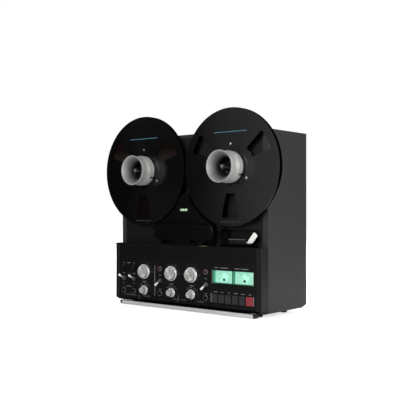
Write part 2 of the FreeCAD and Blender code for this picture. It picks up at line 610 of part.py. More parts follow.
def cutter_lever():
    body = new_body("cutter_lever")
    extrude(body, [rectangle("-lever_back_reach", "lever_length", "-lever_width / 2",
                             "lever_width / 2")], "lever_front", "lever_back")
    round_edges(body, straight_edges(body, "y"), "lever_round")
    extrude(body, [disc("0", "0", "lever_pin + shaft_fit")], "lever_front", "lever_back", cut=True)
    seat(body, "lever_x", "0", "lever_z", lean=(FreeCAD.Vector(0, -1, 0), "lever_tilt"))


def head_base():
    """The base plate of the head block with the hinge posts and the stud of the pinch arm."""
    body = new_body("head_base")
    extrude(body, [rectangle("-base_left", "base_right", "base_low", "base_high")],
            "base_front", "deck_inset")
    extrude(body, [disc("capstan_x", "capstan_z", "capstan_radius + run_gap")],
            "base_front", "deck_inset", cut=True)
    extrude(body, [disc(side, "hinge_z", "hinge_post") for side in ("-hinge_post_x", "hinge_post_x")],
            "hinge_y - hinge_post_end", "base_front")
    extrude(body, [disc("hinge_y", "hinge_z", "hinge_pin + shaft_fit")],
            "-hinge_post_x - hinge_post", "hinge_post_x + hinge_post", plane="YZ_Plane", cut=True)
    extrude(body, [disc("arm_x", "arm_z", "arm_stud")],
            "arm_front - run_gap - stud_cap_thick", "base_front")
    extrude(body, [disc("arm_x", "arm_z", "stud_cap")],
            "arm_front - run_gap - stud_cap_thick", "arm_front - run_gap")
    seat(body)


def pinch_arm():
    """The arm from its stud to the roller axle, drawn level and leant in place."""
    body = new_body("pinch_arm")
    extrude(body, [disc("0", "0", "arm_pivot_boss")], "arm_front", "arm_back")
    extrude(body, [rectangle("-arm_length", "0", "-arm_half", "arm_half")], "arm_front", "arm_back")
    extrude(body, [disc("-arm_length", "0", "arm_roller_boss")], "arm_front", "arm_back")
    extrude(body, [disc("-arm_length", "0", "roller_axle")],
            "roller_front - run_gap - roller_cap_thick", "arm_front")
    extrude(body, [disc("-arm_length", "0", "roller_cap")],
            "roller_front - run_gap - roller_cap_thick", "roller_front - run_gap")
    extrude(body, [disc("0", "0", "arm_stud + shaft_fit")], "arm_front", "arm_back", cut=True)
    seat(body, "arm_x", "0", "arm_z", lean=(FreeCAD.Vector(0, 1, 0), "arm_tilt"))


def pinch_roller():
    body = new_body("pinch_roller")
    turn(body, [("roller_axle + shaft_fit", "roller_back"), ("roller_radius", "roller_back"),
                ("roller_radius", "roller_front"), ("roller_axle + shaft_fit", "roller_front")])
    seat(body, "roller_x", "0", "roller_z")


def tape_heads():
    """Three heads that hang nose down over the tape line."""
    heads = []
    for column in ("head_a", "head_b", "head_c"):
        head = new_body("head")
        shoulder = "head_low + head_shoulder"
        extrude(head, [outline(
            [("-head_half", shoulder), ("head_half", shoulder), ("head_half", "head_high"),
             ("-head_half", "head_high")],
            {0: ("0", "%s + sqrt(head_nose ^ 2 - head_half ^ 2)" % shoulder, "head_nose")})],
            "base_front - head_depth", "base_front")
        shift(head, column)
        heads.append(head)
    gather("tape_heads", heads)


def guide_pin():
    """Collar, pin and cap that carry a guide roller."""
    body = new_body("guide_pin")
    roller_back = "deck_inset - guide_collar_length - run_gap"
    cap_back = roller_back + " - guide_length - run_gap"
    turn(body, [("0", "deck_inset"), ("guide_collar", "deck_inset"),
                ("guide_collar", "deck_inset - guide_collar_length"),
                ("guide_pin", "deck_inset - guide_collar_length"), ("guide_pin", cap_back),
                ("guide_cap", cap_back), ("guide_cap", cap_back + " - guide_cap_length"),
                ("0", cap_back + " - guide_cap_length")])
    return body


def tape_guides():
    """Roller pins, two fixed posts and the tape end sensor in the recess."""
    loose = []
    for side in ("-guide_x", "guide_x"):
        carrier = guide_pin()
        shift(carrier, side, "0", "guide_z")
        loose.append(carrier)
    for side in ("-post_x", "post_x - post_gap"):
        post = new_body("post")
        turn(post, [("0", "base_front"), ("post_radius", "base_front"),
                    ("post_radius", "base_front - post_depth"), ("0", "base_front - post_depth")])
        shift(post, side, "0", "post_z")
        loose.append(post)
    sensor = new_body("sensor")
    extrude(sensor, [rectangle("recess_left + sensor_gap", "sensor_right",
                               "recess_low + sensor_gap", "recess_high - sensor_gap")],
            "sensor_front", "tray_floor_y")
    round_edges(sensor, straight_edges(sensor, "y"), "sensor_round")
    loose.append(sensor)
    gather("tape_guides", loose)


def guide_roller(label, side):
    body = new_body(label)
    back = "deck_inset - guide_collar_length - run_gap"
    front = back + " - guide_length"
    bore = "guide_pin + shaft_fit"
    turn(body, [(bore, back), ("guide_flange", back), ("guide_flange", back + " - guide_lip"),
                ("guide_waist", back + " - guide_lip"), ("guide_waist", front + " + guide_lip"),
                ("guide_flange", front + " + guide_lip"), ("guide_flange", front), (bore, front)])
    seat(body, side, "0", "guide_z")


def capstan_shaft():
    """The capstan with its flywheel behind the motor."""
    body = new_body("capstan_shaft")
    wheel = "chassis_back + capstan_motor_length + run_gap"
    rim = wheel + " + flywheel_thick"
    turn(body, [("0", "deck_inset - capstan_reach"),
                ("capstan_radius", "deck_inset - capstan_reach"), ("capstan_radius", wheel),
                ("flywheel_radius", wheel), ("flywheel_radius", rim), ("0", rim)])
    seat(body, "capstan_x", "0", "capstan_z")


def motor(radius, length, bore):
    """A round motor with its shaft bore, fixed by its front face to the chassis."""
    body = new_body("motor")
    rear = "chassis_back + " + length
    turn(body, [(bore, "chassis_back"), (radius, "chassis_back"), (radius, rear + " - motor_round"),
                (radius + " - motor_round", rear), (bore, rear)])
    return body


def drive_motors():
    motors = []
    for side in ("-reel_x", "reel_x"):
        reel_motor = motor("reel_motor", "reel_motor_length", "axle_radius + shaft_fit")
        shift(reel_motor, side, "0", "reel_z")
        motors.append(reel_motor)
    capstan = motor("capstan_motor", "capstan_motor_length", "capstan_radius + shaft_fit")
    shift(capstan, "capstan_x", "0", "capstan_z")
    motors.append(capstan)
    gather("drive_motors", motors)


def turntable(label, side):
    """Disc, axle and the three-winged spindle in one piece."""
    body = new_body(label)
    tip = "table_front - spindle_length"
    turn(body, [("0", "chassis_back + axle_length - table_clear"),
                ("axle_radius", "chassis_back + axle_length - table_clear"),
                ("axle_radius", "deck_inset - run_gap"), ("table_boss", "deck_inset - run_gap"),
                ("table_boss", "table_back"), ("table_radius", "table_back"),
                ("table_radius", "table_front"), ("axle_radius", "table_front"),
                ("axle_radius", tip + " + spindle_chamfer"),
                ("axle_radius - spindle_chamfer", tip), ("0", tip)])
    wing = extrude(body, [rectangle("-wing_half", "wing_half", "-wing_reach", "0")],
                   tip + " + wing_end", "table_front")
    repeat_round(body, wing, "window_count")
    seat(body, side, "0", "reel_z")


def reel(label, side):
    """Hub and two flanges with three windows and three key notches in the bore."""
    body = new_body(label)
    back_inner = "table_front - flange_sheet"
    front_inner = "reel_front + flange_sheet"
    turn(body, [("reel_bore", "table_front"), ("reel_radius", "table_front"),
                ("reel_radius", back_inner), ("reel_hub", back_inner), ("reel_hub", front_inner),
                ("reel_radius", front_inner), ("reel_radius", "reel_front"),
                ("reel_bore", "reel_front")])
    window = extrude(body, [outline([
        ("-window_inner_half", "-window_inner"), ("-window_outer_half", "-window_outer"),
        ("window_outer_half", "-window_outer"), ("window_inner_half", "-window_inner")])],
        "reel_front", "table_front", cut=True)
    corners = edge_names(body, lambda edge: spans(edge, "y") and (
        abs(edge.CenterOfMass.z + value("window_inner")) < TINY
        or abs(edge.CenterOfMass.z + value("window_outer")) < TINY))
    rounding = round_edges(body, corners, "window_round")
    pattern = body.newObject("PartDesign::PolarPattern", label + "_windows")
    pattern.Originals = [window, rounding]
    pattern.Axis = (window.Profile[0], ["N_Axis"])
    pattern.setExpression("Angle", scoped("full_turn"))
    pattern.setExpression("Occurrences", scoped("window_count"))
    body.Tip = pattern
    notch = extrude(body, [rectangle("-key_notch_half", "key_notch_half",
                                     "-reel_bore - key_notch", "-reel_bore / 2")],
                    "reel_front", "table_front", cut=True)
    repeat_round(body, notch, "window_count")
    seat(body, side, "0", "reel_z")


def tape_pack():
    body = new_body("tape_pack")
    middle = "(table_front + reel_front) / 2"
    back, front = middle + " + tape_width / 2", middle + " - tape_width / 2"
    turn(body, [("reel_hub", back), ("tape_radius", back), ("tape_radius", front),
                ("reel_hub", front)])
    seat(body, "-reel_x", "0", "reel_z")


def hub_adapter(label, side):
    """The base of the adapter: a drum in the reel bore, slotted for the spindle wings."""
    body = new_body(label)
    floor = "table_front - adapter_floor"
    turn(body, [("axle_radius + lay_gap", "table_front"), ("adapter_radius", "table_front"),
                ("adapter_radius", "adapter_front + adapter_chamfer"),
                ("adapter_radius - adapter_chamfer", "adapter_front"),
                ("neck_radius", "adapter_front"), ("neck_radius", "neck_front"),
                ("adapter_well", "neck_front"), ("adapter_well", floor),
                ("axle_radius + lay_gap", floor)])
    slot = extrude(body, [rectangle("-wing_half - slot_clear", "wing_half + slot_clear",
                                    "-wing_reach - slot_clear", "0")],
                   floor, "table_front", cut=True)
    repeat_round(body, slot, "window_count")
    seat(body, side, "0", "reel_z")


def adapter_sleeve(label, side):
    """The locking sleeve that twists on the neck of the adapter base."""
    body = new_body(label)
    inner_face = "neck_front - run_gap"
    bore = "neck_radius + sleeve_fit"
    turn(body, [(bore, "sleeve_back"), ("sleeve_band", "sleeve_back"),
                ("sleeve_band", "sleeve_back - sleeve_band_length"),
                ("sleeve_waist", "sleeve_back - sleeve_waist_length"),
                ("sleeve_rim", "sleeve_front"), ("sleeve_mouth", "sleeve_front"),
                ("adapter_well", "sleeve_front + funnel_length"), ("adapter_well", inner_face),
                (bore, inner_face)])
    seat(body, side, "0", "reel_z")


def head_cover():
    """The upper cover between the reels: two flanks that follow the reel rims."""
    body = new_body("head_cover")
    extrude(body, [outline(
        [("-cover_low_half", "cover_low"), ("cover_low_half", "cover_low"),
         ("cover_high_half", "cover_high"), ("-cover_high_half", "cover_high")],
        {1: ("reel_x", "reel_z", "cover_flank"), 3: ("-reel_x", "reel_z", "cover_flank")})],
        "-cover_reach", "deck_inset")
    shell(body, "deck_inset", "cover_wall")
    extrude(body, [rectangle("-counter_half", "counter_half", "counter_low", "counter_high")],
            "-cover_reach", "cover_wall - cover_reach", cut=True)
    seat(body)


def counter_window():
    body = new_body("counter_window")
    inside = "cover_wall - cover_reach"
    extrude(body, [rectangle("lay_gap - counter_half", "counter_half - lay_gap",
                             "counter_low + lay_gap", "counter_high - lay_gap")],
            "-cover_reach", inside)
    extrude(body, [rectangle("-counter_half - counter_lip", "counter_half + counter_lip",
                             "counter_low - counter_lip", "counter_high + counter_lip")],
            inside, inside + " + counter_lip_thick")
    seat(body)


def head_cover_flap():
    """The hollow lower cover with its tab, hinge barrel and pin stubs."""
    body = new_body("head_cover_flap")
    front, back = "flap_cover_front", "flap_cover_back"
    extrude(body, [rectangle("-flap_cover_half", "flap_cover_half", "flap_cover_low",
                             "flap_cover_high")], front, back)
    round_edges(body, straight_edges(body, "y"), "flap_cover_round")
    shell(body, back, "flap_cover_wall")
    round_edges(body, rim_at(body, front), "flap_cover_edge")
    extrude(body, [rectangle("-flap_cover_half", "flap_cover_half", "flap_cover_low",
                             "flap_cover_high - flap_cut_rest")],
            back + " - flap_cut_depth", back, cut=True)
    extrude(body, [rectangle("-tab_half", "tab_half", "hinge_z",
                             "flap_cover_low + flap_cover_wall")],
            front, front + " + flap_cover_wall")
    extrude(body, [disc("hinge_y", "hinge_z", "barrel_radius")], "-barrel_half", "barrel_half",
            plane="YZ_Plane")
    extrude(body, [disc("hinge_y", "hinge_z", "hinge_pin")], "-barrel_half - hinge_pin_reach",
            "barrel_half + hinge_pin_reach", plane="YZ_Plane")
    seat(body)


def jack_body():
    """Socket body with its threaded tube through the panel and the plug bore."""
    body = new_body("jack_body")
    tip = "panel_front - jack_tube_proud"
    floor = tip + " + jack_length + jack_tube_proud"
    rear = floor + " + jack_end_wall"
    turn(body, [("jack_bore", tip), ("jack_tube", tip), ("jack_tube", "panel_back"),
                ("jack_body", "panel_back"), ("jack_body", rear), ("0", rear), ("0", floor),
                ("jack_bore", floor)])
    return body


def toggle_body():
    """Square switch body with its threaded tube and the cavity of the lever ball."""
    body = new_body("toggle_body")
    tip = "panel_front - toggle_tube_proud"
    half = "toggle_body_half"
    extrude(body, [rectangle("-" + half, half, "-" + half, half)], "panel_back", "board_front")
    extrude(body, [disc("0", "0", "toggle_tube")], tip, "panel_back")
    extrude(body, [disc("0", "0", "toggle_bore")], tip, tip + " + toggle_bore_depth", cut=True)
    return body


def rotary_body():
    body = new_body("rotary_body")
    tip = "panel_front - rotary_tube_proud"
    bore = "knob_shaft + shaft_fit"
    turn(body, [(bore, tip), ("rotary_tube", tip), ("rotary_tube", "panel_back"),
                ("rotary_body", "panel_back"), ("rotary_body", "board_front"),
                (bore, "board_front")])
    return body


def button_switch(radius):
    """Switch box behind a round button, with the bore of its stem."""
    body = new_body("button_switch")
    half = radius + " + button_flange"
    front = "panel_back + run_gap + button_flange_thick + button_travel + run_gap"
    extrude(body, [rectangle("-(%s)" % half, half, "-(%s)" % half, half)], front, "board_front")
    extrude(body, [disc("0", "0", "button_stem + shaft_fit")], front, "board_front", cut=True)
    return body


def key_switch():
    """Switch box behind a transport key, bored through for the key stem."""
    body = new_body("key_switch")
    half, bore = "key_switch_half", "key_stem_half + slide_fit"
    extrude(body, [rectangle("-" + half, half, "-" + half, half)], "key_switch_front", "board_front")
    extrude(body, [rectangle("-(%s)" % bore, bore, "-(%s)" % bore, bore)],
            "key_switch_front", "board_front", cut=True)
    return body


def key_middle(index):
    return "key_first + %d * key_pitch + key_width / 2" % index


def control_bodies():
    """Everything that sits between the panel and the control board."""
    bodies = []

    def put(body, column, row):
        shift(body, column, "0", row)
        bodies.append(body)

    for column in ("column_a", "column_b", "column_c", "column_d"):
        put(jack_body(), column, "jack_z")
        put(toggle_body(), column, "toggle_z")
    for column in ("knob_a", "knob_b", "knob_c"):
        put(rotary_body(), column, "level_z")
        put(rotary_body(), column, "selector_z")
    put(button_switch("button_small"), "column_a", "button_z")
    put(button_switch("button_large"), "column_b", "button_z")
    for index in range(6):
        put(key_switch(), key_middle(index), "key_mid_z")
    gather("control_bodies", bodies)


def panel_bushings():
    """Round nuts of the jacks and toggles on the panel front."""
    nuts = []
    for column in ("column_a", "column_b", "column_c", "column_d"):
        for row, tube, outer, thick in (
                ("jack_z", "jack_tube", "jack_nut", "jack_nut_thick"),
                ("toggle_z", "toggle_tube", "toggle_nut", "toggle_nut_thick")):
            nut = new_body("nut")
            bore = tube + " + shaft_fit"
            front = "panel_front - " + thick
            turn(nut, [(bore, "panel_front"), (outer, "panel_front"),
                       (outer, front + " + pointer_depth"), (outer + " - pointer_depth", front),
                       (bore, front)])
            shift(nut, column, "0", row)
            nuts.append(nut)
    gather("panel_bushings", nuts)


def toggle_lever(label, column, side):
    """Lever with a ball root; it leans up on one side of the panel and down on the other."""
    body = new_body(label)
    turn(body, [("0", "-toggle_length"), ("toggle_tip - toggle_tip_round", "-toggle_length"),
                ("toggle_tip", "toggle_tip_round - toggle_length"),
                ("toggle_root", "-sqrt(toggle_ball ^ 2 - toggle_root ^ 2)"),
                ("toggle_ball", "0"), ("0", "toggle_ball")],
         arcs={3: ("0", "0", "toggle_ball"), 4: ("0", "0", "toggle_ball")})
    seat(body, column, "panel_front - toggle_tube_proud", "toggle_z",
         lean=(FreeCAD.Vector(side, 0, 0), "toggle_tilt"))


def knob(label, column, row, kind):
    """Skirt, cap and shaft of a rotary knob, hollow behind for the nut of its control."""
    body = new_body(label)
    skirt, cap, height = kind + "_skirt", kind + "_cap", kind + "_height"
    back = "panel_front - run_gap"
    skirt_front = back + " - %s_skirt_thick" % kind
    front = "panel_front - " + height
    end = "board_front - shaft_end_gap"
    hollow = back + " - knob_hollow_depth"
    turn(body, [("0", end), ("knob_shaft", end), ("knob_shaft", hollow),
                ("knob_hollow", hollow), ("knob_hollow", back), (skirt, back),
                (skirt, skirt_front + " + level_skirt_round"),
                (skirt + " - level_skirt_round", skirt_front), (cap, skirt_front),
                (cap, front + " + cap_chamfer"), (cap + " - cap_chamfer", front), ("0", front)])
    seat(body, column, "0", row)


def push_button(label, column, radius):
    """Round button with its retaining flange and stem."""
    body = new_body(label)
    flange_front = "panel_back + run_gap"
    flange_back = flange_front + " + button_flange_thick"
    stem = flange_back + " + button_travel + 2 * run_gap"
    front = "panel_front - button_proud"
    flange = radius + " + button_flange"
    turn(body, [("0", stem), ("button_stem", stem), ("button_stem", flange_back),
                (flange, flange_back), (flange, flange_front), (radius, flange_front),
                (radius, front + " + button_round"), (radius + " - button_round", front),
                ("0", front)])
    seat(body, column, "0", "button_z")


def transport_key(label, index):
    """A key with its retaining flange above the slot and its stem."""
    body = new_body(label)
    half = "key_width / 2"
    extrude(body, [rectangle("-" + half, half, "key_low", "key_high")],
            "key_front", "key_flange_back")
    round_edges(body, rim_at(body, "key_front"), "key_round")
    extrude(body, [rectangle("-" + half, half, "key_high", "key_high + key_flange")],
            "key_flange_front", "key_flange_back")
    extrude(body, [rectangle("-key_stem_half", "key_stem_half", "key_mid_z - key_stem_half",
                             "key_mid_z + key_stem_half")], "key_flange_back", "key_stem_back")
    seat(body, key_middle(index))


def indicator_lamps():
    lamps = []
    for column in ("column_c", "column_d"):
        lamp = new_body("lamp")
        turn(lamp, [("0", "panel_front + lamp_depth"), ("lamp_body", "panel_front + lamp_depth"),
                    ("lamp_body", "panel_front"), ("lamp_bezel", "panel_front"),
                    ("lamp_bezel", "panel_front - lamp_bezel_thick"),
                    ("lamp_lens", "panel_front - lamp_bezel_thick"),
                    ("lamp_lens", "panel_front - lamp_proud + lamp_round"),
                    ("lamp_lens - lamp_round", "panel_front - lamp_proud"),
                    ("0", "panel_front - lamp_proud")])
        shift(lamp, column, "0", "lamp_z")
        lamps.append(lamp)
    gather("indicator_lamps", lamps)


def meter_housing():
    """One box for both meters: rim, divider, scale cards, lower masks and needle pivots."""
    body = new_body("meter_housing")
    outer = rectangle("meter_left - meter_wall", "meter_right + meter_wall",
                      "meter_low - meter_wall", "meter_high + meter_wall")
    extrude(body, [outer], "panel_back", "board_front")
    panes = (("meter_left + meter_rim", "divider_x - divider_half", "pivot_a"),
             ("divider_x + divider_half", "meter_right - meter_rim", "pivot_b"))
    for left, right, pivot in panes:
        extrude(body, [rectangle(left, right, "meter_low + meter_rim", "meter_high - meter_rim")],
                "panel_back", "card_front", cut=True)
        extrude(body, [rectangle(left, right, "meter_low + meter_rim", "meter_low + mask_rise")],
                "mask_front", "mask_back")
        extrude(body, [disc(pivot, "pivot_z", "pivot_pin")], "mask_back", "card_front")
    seat(body)


def meter_window():
    body = new_body("meter_window")
    extrude(body, [rectangle("meter_left + lay_gap", "meter_right - lay_gap",
                             "meter_low + lay_gap", "meter_high - lay_gap")],
            "panel_back - glass_thick", "panel_back")
    seat(body)


def meter_needle(label, pivot):
    """Needle drawn upright about its pivot and leant to the left end of the scale."""
    body = new_body(label)
    extrude(body, [disc("0", "0", "needle_hub")], "needle_front", "needle_back")
    extrude(body, [outline([("-needle_root", "0"), ("needle_root", "0"),
                            ("needle_tip", "needle_length"), ("-needle_tip", "needle_length")])],
            "needle_front", "needle_back")
    extrude(body, [rectangle("-needle_root", "needle_root", "-needle_tail", "0")],
            "needle_front", "needle_back")
    extrude(body, [disc("0", "0", "pivot_pin + shaft_fit")], "needle_front", "needle_back",
            cut=True)
    seat(body, pivot, "0", "pivot_z", lean=(FreeCAD.Vector(0, -1, 0), "needle_lean"))


def cover_flap():
    body = new_body("cover_flap")
    extrude(body, [rectangle("-flap_half", "flap_half", "bar_back",
                             "bar_back + flap_length")], "flap_low", "flap_high",
            plane="XY_Plane")
    seat(body)


def flap_rail():
    """The bar on the front edge of the flap."""
    body = new_body("flap_rail")
    extrude(body, [rectangle("-rail_half", "rail_half", "bar_low", "bar_high")],
            "-bar_front", "bar_back")
    round_edges(body, straight_edges(body, "y", x="rail_half", z="bar_low"), "bar_end_round")
    front = edge_names(body, lambda edge: spans(edge, "x")
                       and abs(edge.CenterOfMass.y + value("bar_front")) < TINY)
    round_edges(body, front, "bar_round")
    seat(body)


def rear_cover():
    """The back panel with two fields of vent slots."""
    body = new_body("rear_cover")
    extrude(body, [rectangle("-deck_half", "deck_half", "inner_low + run_gap",
                             "inner_high - run_gap")], "back_front", "back_rear")
    for side in ("-vent_x", "vent_x"):
        slot = extrude(body, [rectangle("%s - vent_width / 2" % side, "%s + vent_width / 2" % side,
                                        "vent_low", "vent_low + vent_height")],
                       "back_front", "back_rear", cut=True)
        repeat_along(body, slot, "V_Axis", "vent_pitch * (vent_count - 1)", "vent_count")
    extrude(body, [rectangle("inlet_x", "inlet_x + inlet_width", "inlet_low",
                             "inlet_low + inlet_height")], "back_front", "back_rear", cut=True)
    seat(body)


def socket_group():
    """Signal sockets on one plate."""
    body = new_body("signal_sockets")
    plate = "back_rear + socket_plate_thick"
    extrude(body, [rectangle("socket_plate_x - socket_plate_half",
                             "socket_plate_x + socket_plate_half", "socket_plate_low",
                             "socket_plate_low + socket_plate_height")], "back_rear", plate)
    middle = "socket_plate_low + socket_plate_height / 2"
    spots = [("socket_plate_x %s socket_pitch / 2" % across, "%s %s socket_pitch / 2" % (middle, up))
             for across in "+-" for up in "+-"]
    extrude(body, [disc(across, up, "socket_radius") for across, up in spots],
            plate, plate + " + socket_length")
    extrude(body, [disc(across, up, "socket_bore") for across, up in spots],
            plate, plate + " + socket_length", cut=True)
    return body


def mains_inlet():
    """Recessed three-pin inlet in the back panel."""
    body = new_body("mains_inlet")
    lip = "back_rear + inlet_lip_thick"
    floor = "back_rear - inlet_depth + inlet_wall"
    extrude(body, [rectangle("inlet_x - inlet_lip", "inlet_x + inlet_width + inlet_lip",
                             "inlet_low - inlet_lip", "inlet_low + inlet_height + inlet_lip")],
            "back_rear", lip)
    extrude(body, [rectangle("inlet_x + lay_gap", "inlet_x + inlet_width - lay_gap",
                             "inlet_low + lay_gap", "inlet_low + inlet_height - lay_gap")],
            "back_rear - inlet_depth", "back_rear")
    extrude(body, [rectangle("inlet_x + inlet_wall", "inlet_x + inlet_width - inlet_wall",
                             "inlet_low + inlet_wall", "inlet_low + inlet_height - inlet_wall")],
            floor, lip, cut=True)
    middle_x, middle_z = "inlet_x + inlet_width / 2", "inlet_low + inlet_height / 2"
    for shift_x, shift_z in (("- prong_pitch", "- prong_half"), ("+ prong_pitch", "- prong_half"),
                             ("", "+ 2 * prong_half")):
        across, up = middle_x + " " + shift_x, middle_z + " " + shift_z
        extrude(body, [rectangle(across + " - prong_half", across + " + prong_half",
                                 up + " - 2 * prong_half", up + " + 2 * prong_half")],
                floor, floor + " + prong_length")
    return body


def rear_sockets():
    fuse = new_body("fuse_holder")
    turn(fuse, [("0", "back_rear"), ("fuse_radius", "back_rear"),
                ("fuse_radius", "back_rear + fuse_length"), ("0", "back_rear + fuse_length")])
    shift(fuse, "inlet_x - fuse_gap", "0", "inlet_low + inlet_height / 2")
    gather("rear_sockets", [socket_group(), mains_inlet(), fuse])


def power_transformer():
    """Laminated core on the floor with the coil through it."""
    body = new_body("power_transformer")
    back = "core_front + core_depth"
    high = "inner_low + core_height"
    extrude(body, [rectangle("core_left", "core_left + core_width", "inner_low", high)],
            "core_front", back)
    extrude(body, [rectangle("core_left + coil_inset", "core_left + core_width - coil_inset",
                             "inner_low + coil_low", high + " - coil_low")],
            "core_front - coil_bulge", back + " + coil_bulge")
    seat(body)


def control_board():
    """Board behind the control bodies, holed for the longer jack bodies."""
    body = new_body("control_board")
    extrude(body, [rectangle("board_margin - cheek_inner", "cheek_inner - board_margin",
                             "jack_z - jack_body - board_web", "panel_high - board_high_gap")],
            "board_front", "board_front + board_thick")
    extrude(body, [disc(column, "jack_z", "jack_body + run_gap")
                   for column in ("column_a", "column_b", "column_c", "column_d")],
            "board_front", "board_front + board_thick", cut=True)
    return body


def base_board():
    """Main board on four stand-offs with its plug-in cards, one solid."""
    body = new_body("base_board")
    low = "inner_low + base_board_lift"
    top = low + " + base_board_thick"
    extrude(body, [rectangle("-base_board_left", "base_board_right", "base_board_front",
                             "base_board_back")], low, top, plane="XY_Plane")
    extrude(body, [disc(across, depth, "stand_radius")
                   for across in ("stand_inset - base_board_left", "base_board_right - stand_inset")
                   for depth in ("base_board_front + stand_inset", "base_board_back - stand_inset")],
            "inner_low", low, plane="XY_Plane")
    start = "card_inset * 2 - base_board_left"
    card = extrude(body, [rectangle(start, start + " + card_width",
                                    "base_board_front + card_inset",
                                    "base_board_back - card_inset")],
                   top, top + " + card_height", plane="XY_Plane")
    repeat_along(body, card, "H_Axis", "card_pitch * (card_count - 1)", "card_count")
    return body


def circuit_boards():
    gather("circuit_boards", [control_board(), base_board()])


def build():
    """Make every piece."""
    fill_sheet()
    for make in (cabinet, cabinet_feet, control_housing, control_panel, deck_plate, chassis_frame,
                 splicing_block, cutter_lever, head_base, pinch_arm, pinch_roller, tape_heads,
                 tape_guides, capstan_shaft, drive_motors, tape_pack, head_cover, counter_window,
                 head_cover_flap, control_bodies, panel_bushings, indicator_lamps, meter_housing,
                 meter_window, cover_flap, flap_rail, rear_cover, rear_sockets, power_transformer,
                 circuit_boards):
        make()
    guide_roller("left_guide_roller", "-guide_x")
    guide_roller("right_guide_roller", "guide_x")
    for name, side in (("supply", "-reel_x"), ("takeup", "reel_x")):
        turntable(name + "_turntable", side)
        reel(name + "_reel", side)
        hub_adapter(name + "_hub_adapter", side)
        adapter_sleeve(name + "_adapter_sleeve", side)
    for letter in "abc":
        knob("level_knob_" + letter, "knob_" + letter, "level_z", "level")
        knob("selector_knob_" + letter, "knob_" + letter, "selector_z", "selector")
    for letter, side in (("a", -1), ("b", -1), ("c", 1), ("d", 1)):
        toggle_lever("toggle_lever_" + letter, "column_" + letter, side)
    push_button("reset_button", "column_a", "button_small")
    push_button("monitor_button", "column_b", "button_large")
    for index, letter in enumerate("abcdef"):
        transport_key("transport_key_" + letter, index)
    meter_needle("left_meter_needle", "pivot_a")
    meter_needle("right_meter_needle", "pivot_b")


def export():
    """Check every object and write one file per piece."""
    document.recompute()
    for item in document.Objects:
        if "Invalid" in item.State or "Error" in item.State:
            raise RuntimeError("%s did not build: %s" % (item.Label, item.State))
    os.makedirs("parts", exist_ok=True)
    for piece in pieces:
        shape = piece.Shape
        if shape.isNull() or not shape.isValid():
            raise RuntimeError("%s has no valid shape" % piece.Label)
        shape.exportStep(os.path.join("parts", piece.Label + ".step"))
    print("%d pieces written" % len(pieces))


build()
export()
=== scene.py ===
"""Looks of a reel-to-reel tape recorder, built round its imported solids.

Sizes are millimetres, and Blender's unit is the metre.  X runs to the right seen from the front,
the front faces -Y, Z is up and the origin is on the ground under the middle.  Depths in Y are
counted from the case's front edge.
"""
from __future__ import annotations

import logging
import math
from dataclasses import dataclass, field, replace
from enum import Enum
from typing import Iterable, Sequence

import bpy
import numpy as np
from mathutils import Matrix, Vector


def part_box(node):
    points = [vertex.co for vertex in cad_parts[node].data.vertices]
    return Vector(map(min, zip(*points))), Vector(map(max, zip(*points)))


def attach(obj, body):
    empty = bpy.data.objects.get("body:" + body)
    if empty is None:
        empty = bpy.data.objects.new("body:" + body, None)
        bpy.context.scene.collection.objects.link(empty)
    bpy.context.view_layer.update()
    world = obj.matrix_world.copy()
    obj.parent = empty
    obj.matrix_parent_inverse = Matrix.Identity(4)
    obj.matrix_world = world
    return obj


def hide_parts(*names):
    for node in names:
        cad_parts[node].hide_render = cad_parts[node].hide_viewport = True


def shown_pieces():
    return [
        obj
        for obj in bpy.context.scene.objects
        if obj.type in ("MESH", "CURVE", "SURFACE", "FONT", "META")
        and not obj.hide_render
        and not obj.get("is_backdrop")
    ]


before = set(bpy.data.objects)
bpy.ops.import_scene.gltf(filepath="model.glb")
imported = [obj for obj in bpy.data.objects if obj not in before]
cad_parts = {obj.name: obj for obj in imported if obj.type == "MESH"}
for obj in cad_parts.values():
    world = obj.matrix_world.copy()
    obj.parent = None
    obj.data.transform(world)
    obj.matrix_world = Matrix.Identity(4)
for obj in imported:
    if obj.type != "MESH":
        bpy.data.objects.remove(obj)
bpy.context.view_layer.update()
LOG = logging.getLogger("tape_recorder")
MM = 0.001
FRONT_EDGE = -50.15
"""Y of the case's front edge, which every depth is counted from."""
PANEL = -22.7
"""Depth of the control panel's face."""
KNOB_COLUMNS = (-125.5, -36.1, 26.2)
LEVEL_ROW = 86.7
FIGURE_HEIGHT = 0.7
"""Height of Blender's own figures at size one."""
Spot = tuple[float, float]
"""X and Z of a point, as it is seen from the front."""


def linear(code: str, share: float = 1.0) -> tuple[float, ...]:
    """Turn an sRGB hex code into linear colour.

    Args:
        code: Six hex digits, such as "1a1a1c".
        share: Factor that makes a darker or lighter shade of it.

    Returns:
        Red, green and blue, none over one, and an alpha of one.
    """
    parts = [int(code[i:i + 2], 16) / 255 for i in (0, 2, 4)]
    light = [c / 12.92 if c <= 0.04045 else ((c + 0.055) / 1.055) ** 2.4 for c in parts]
    return (*(min(1.0, c * share) for c in light), 1.0)


def placed(name: str, data: bpy.types.ID) -> bpy.types.Object:
    """Make an object and put it in the scene.

    Args:
        name: Its name.
        data: The mesh, lamp or camera that it shows.

    Returns:
        The object.
    """
    item = bpy.data.objects.new(name, data)
    bpy.context.scene.collection.objects.link(item)
    return item


# ---------------------------------------------------------------- meshes


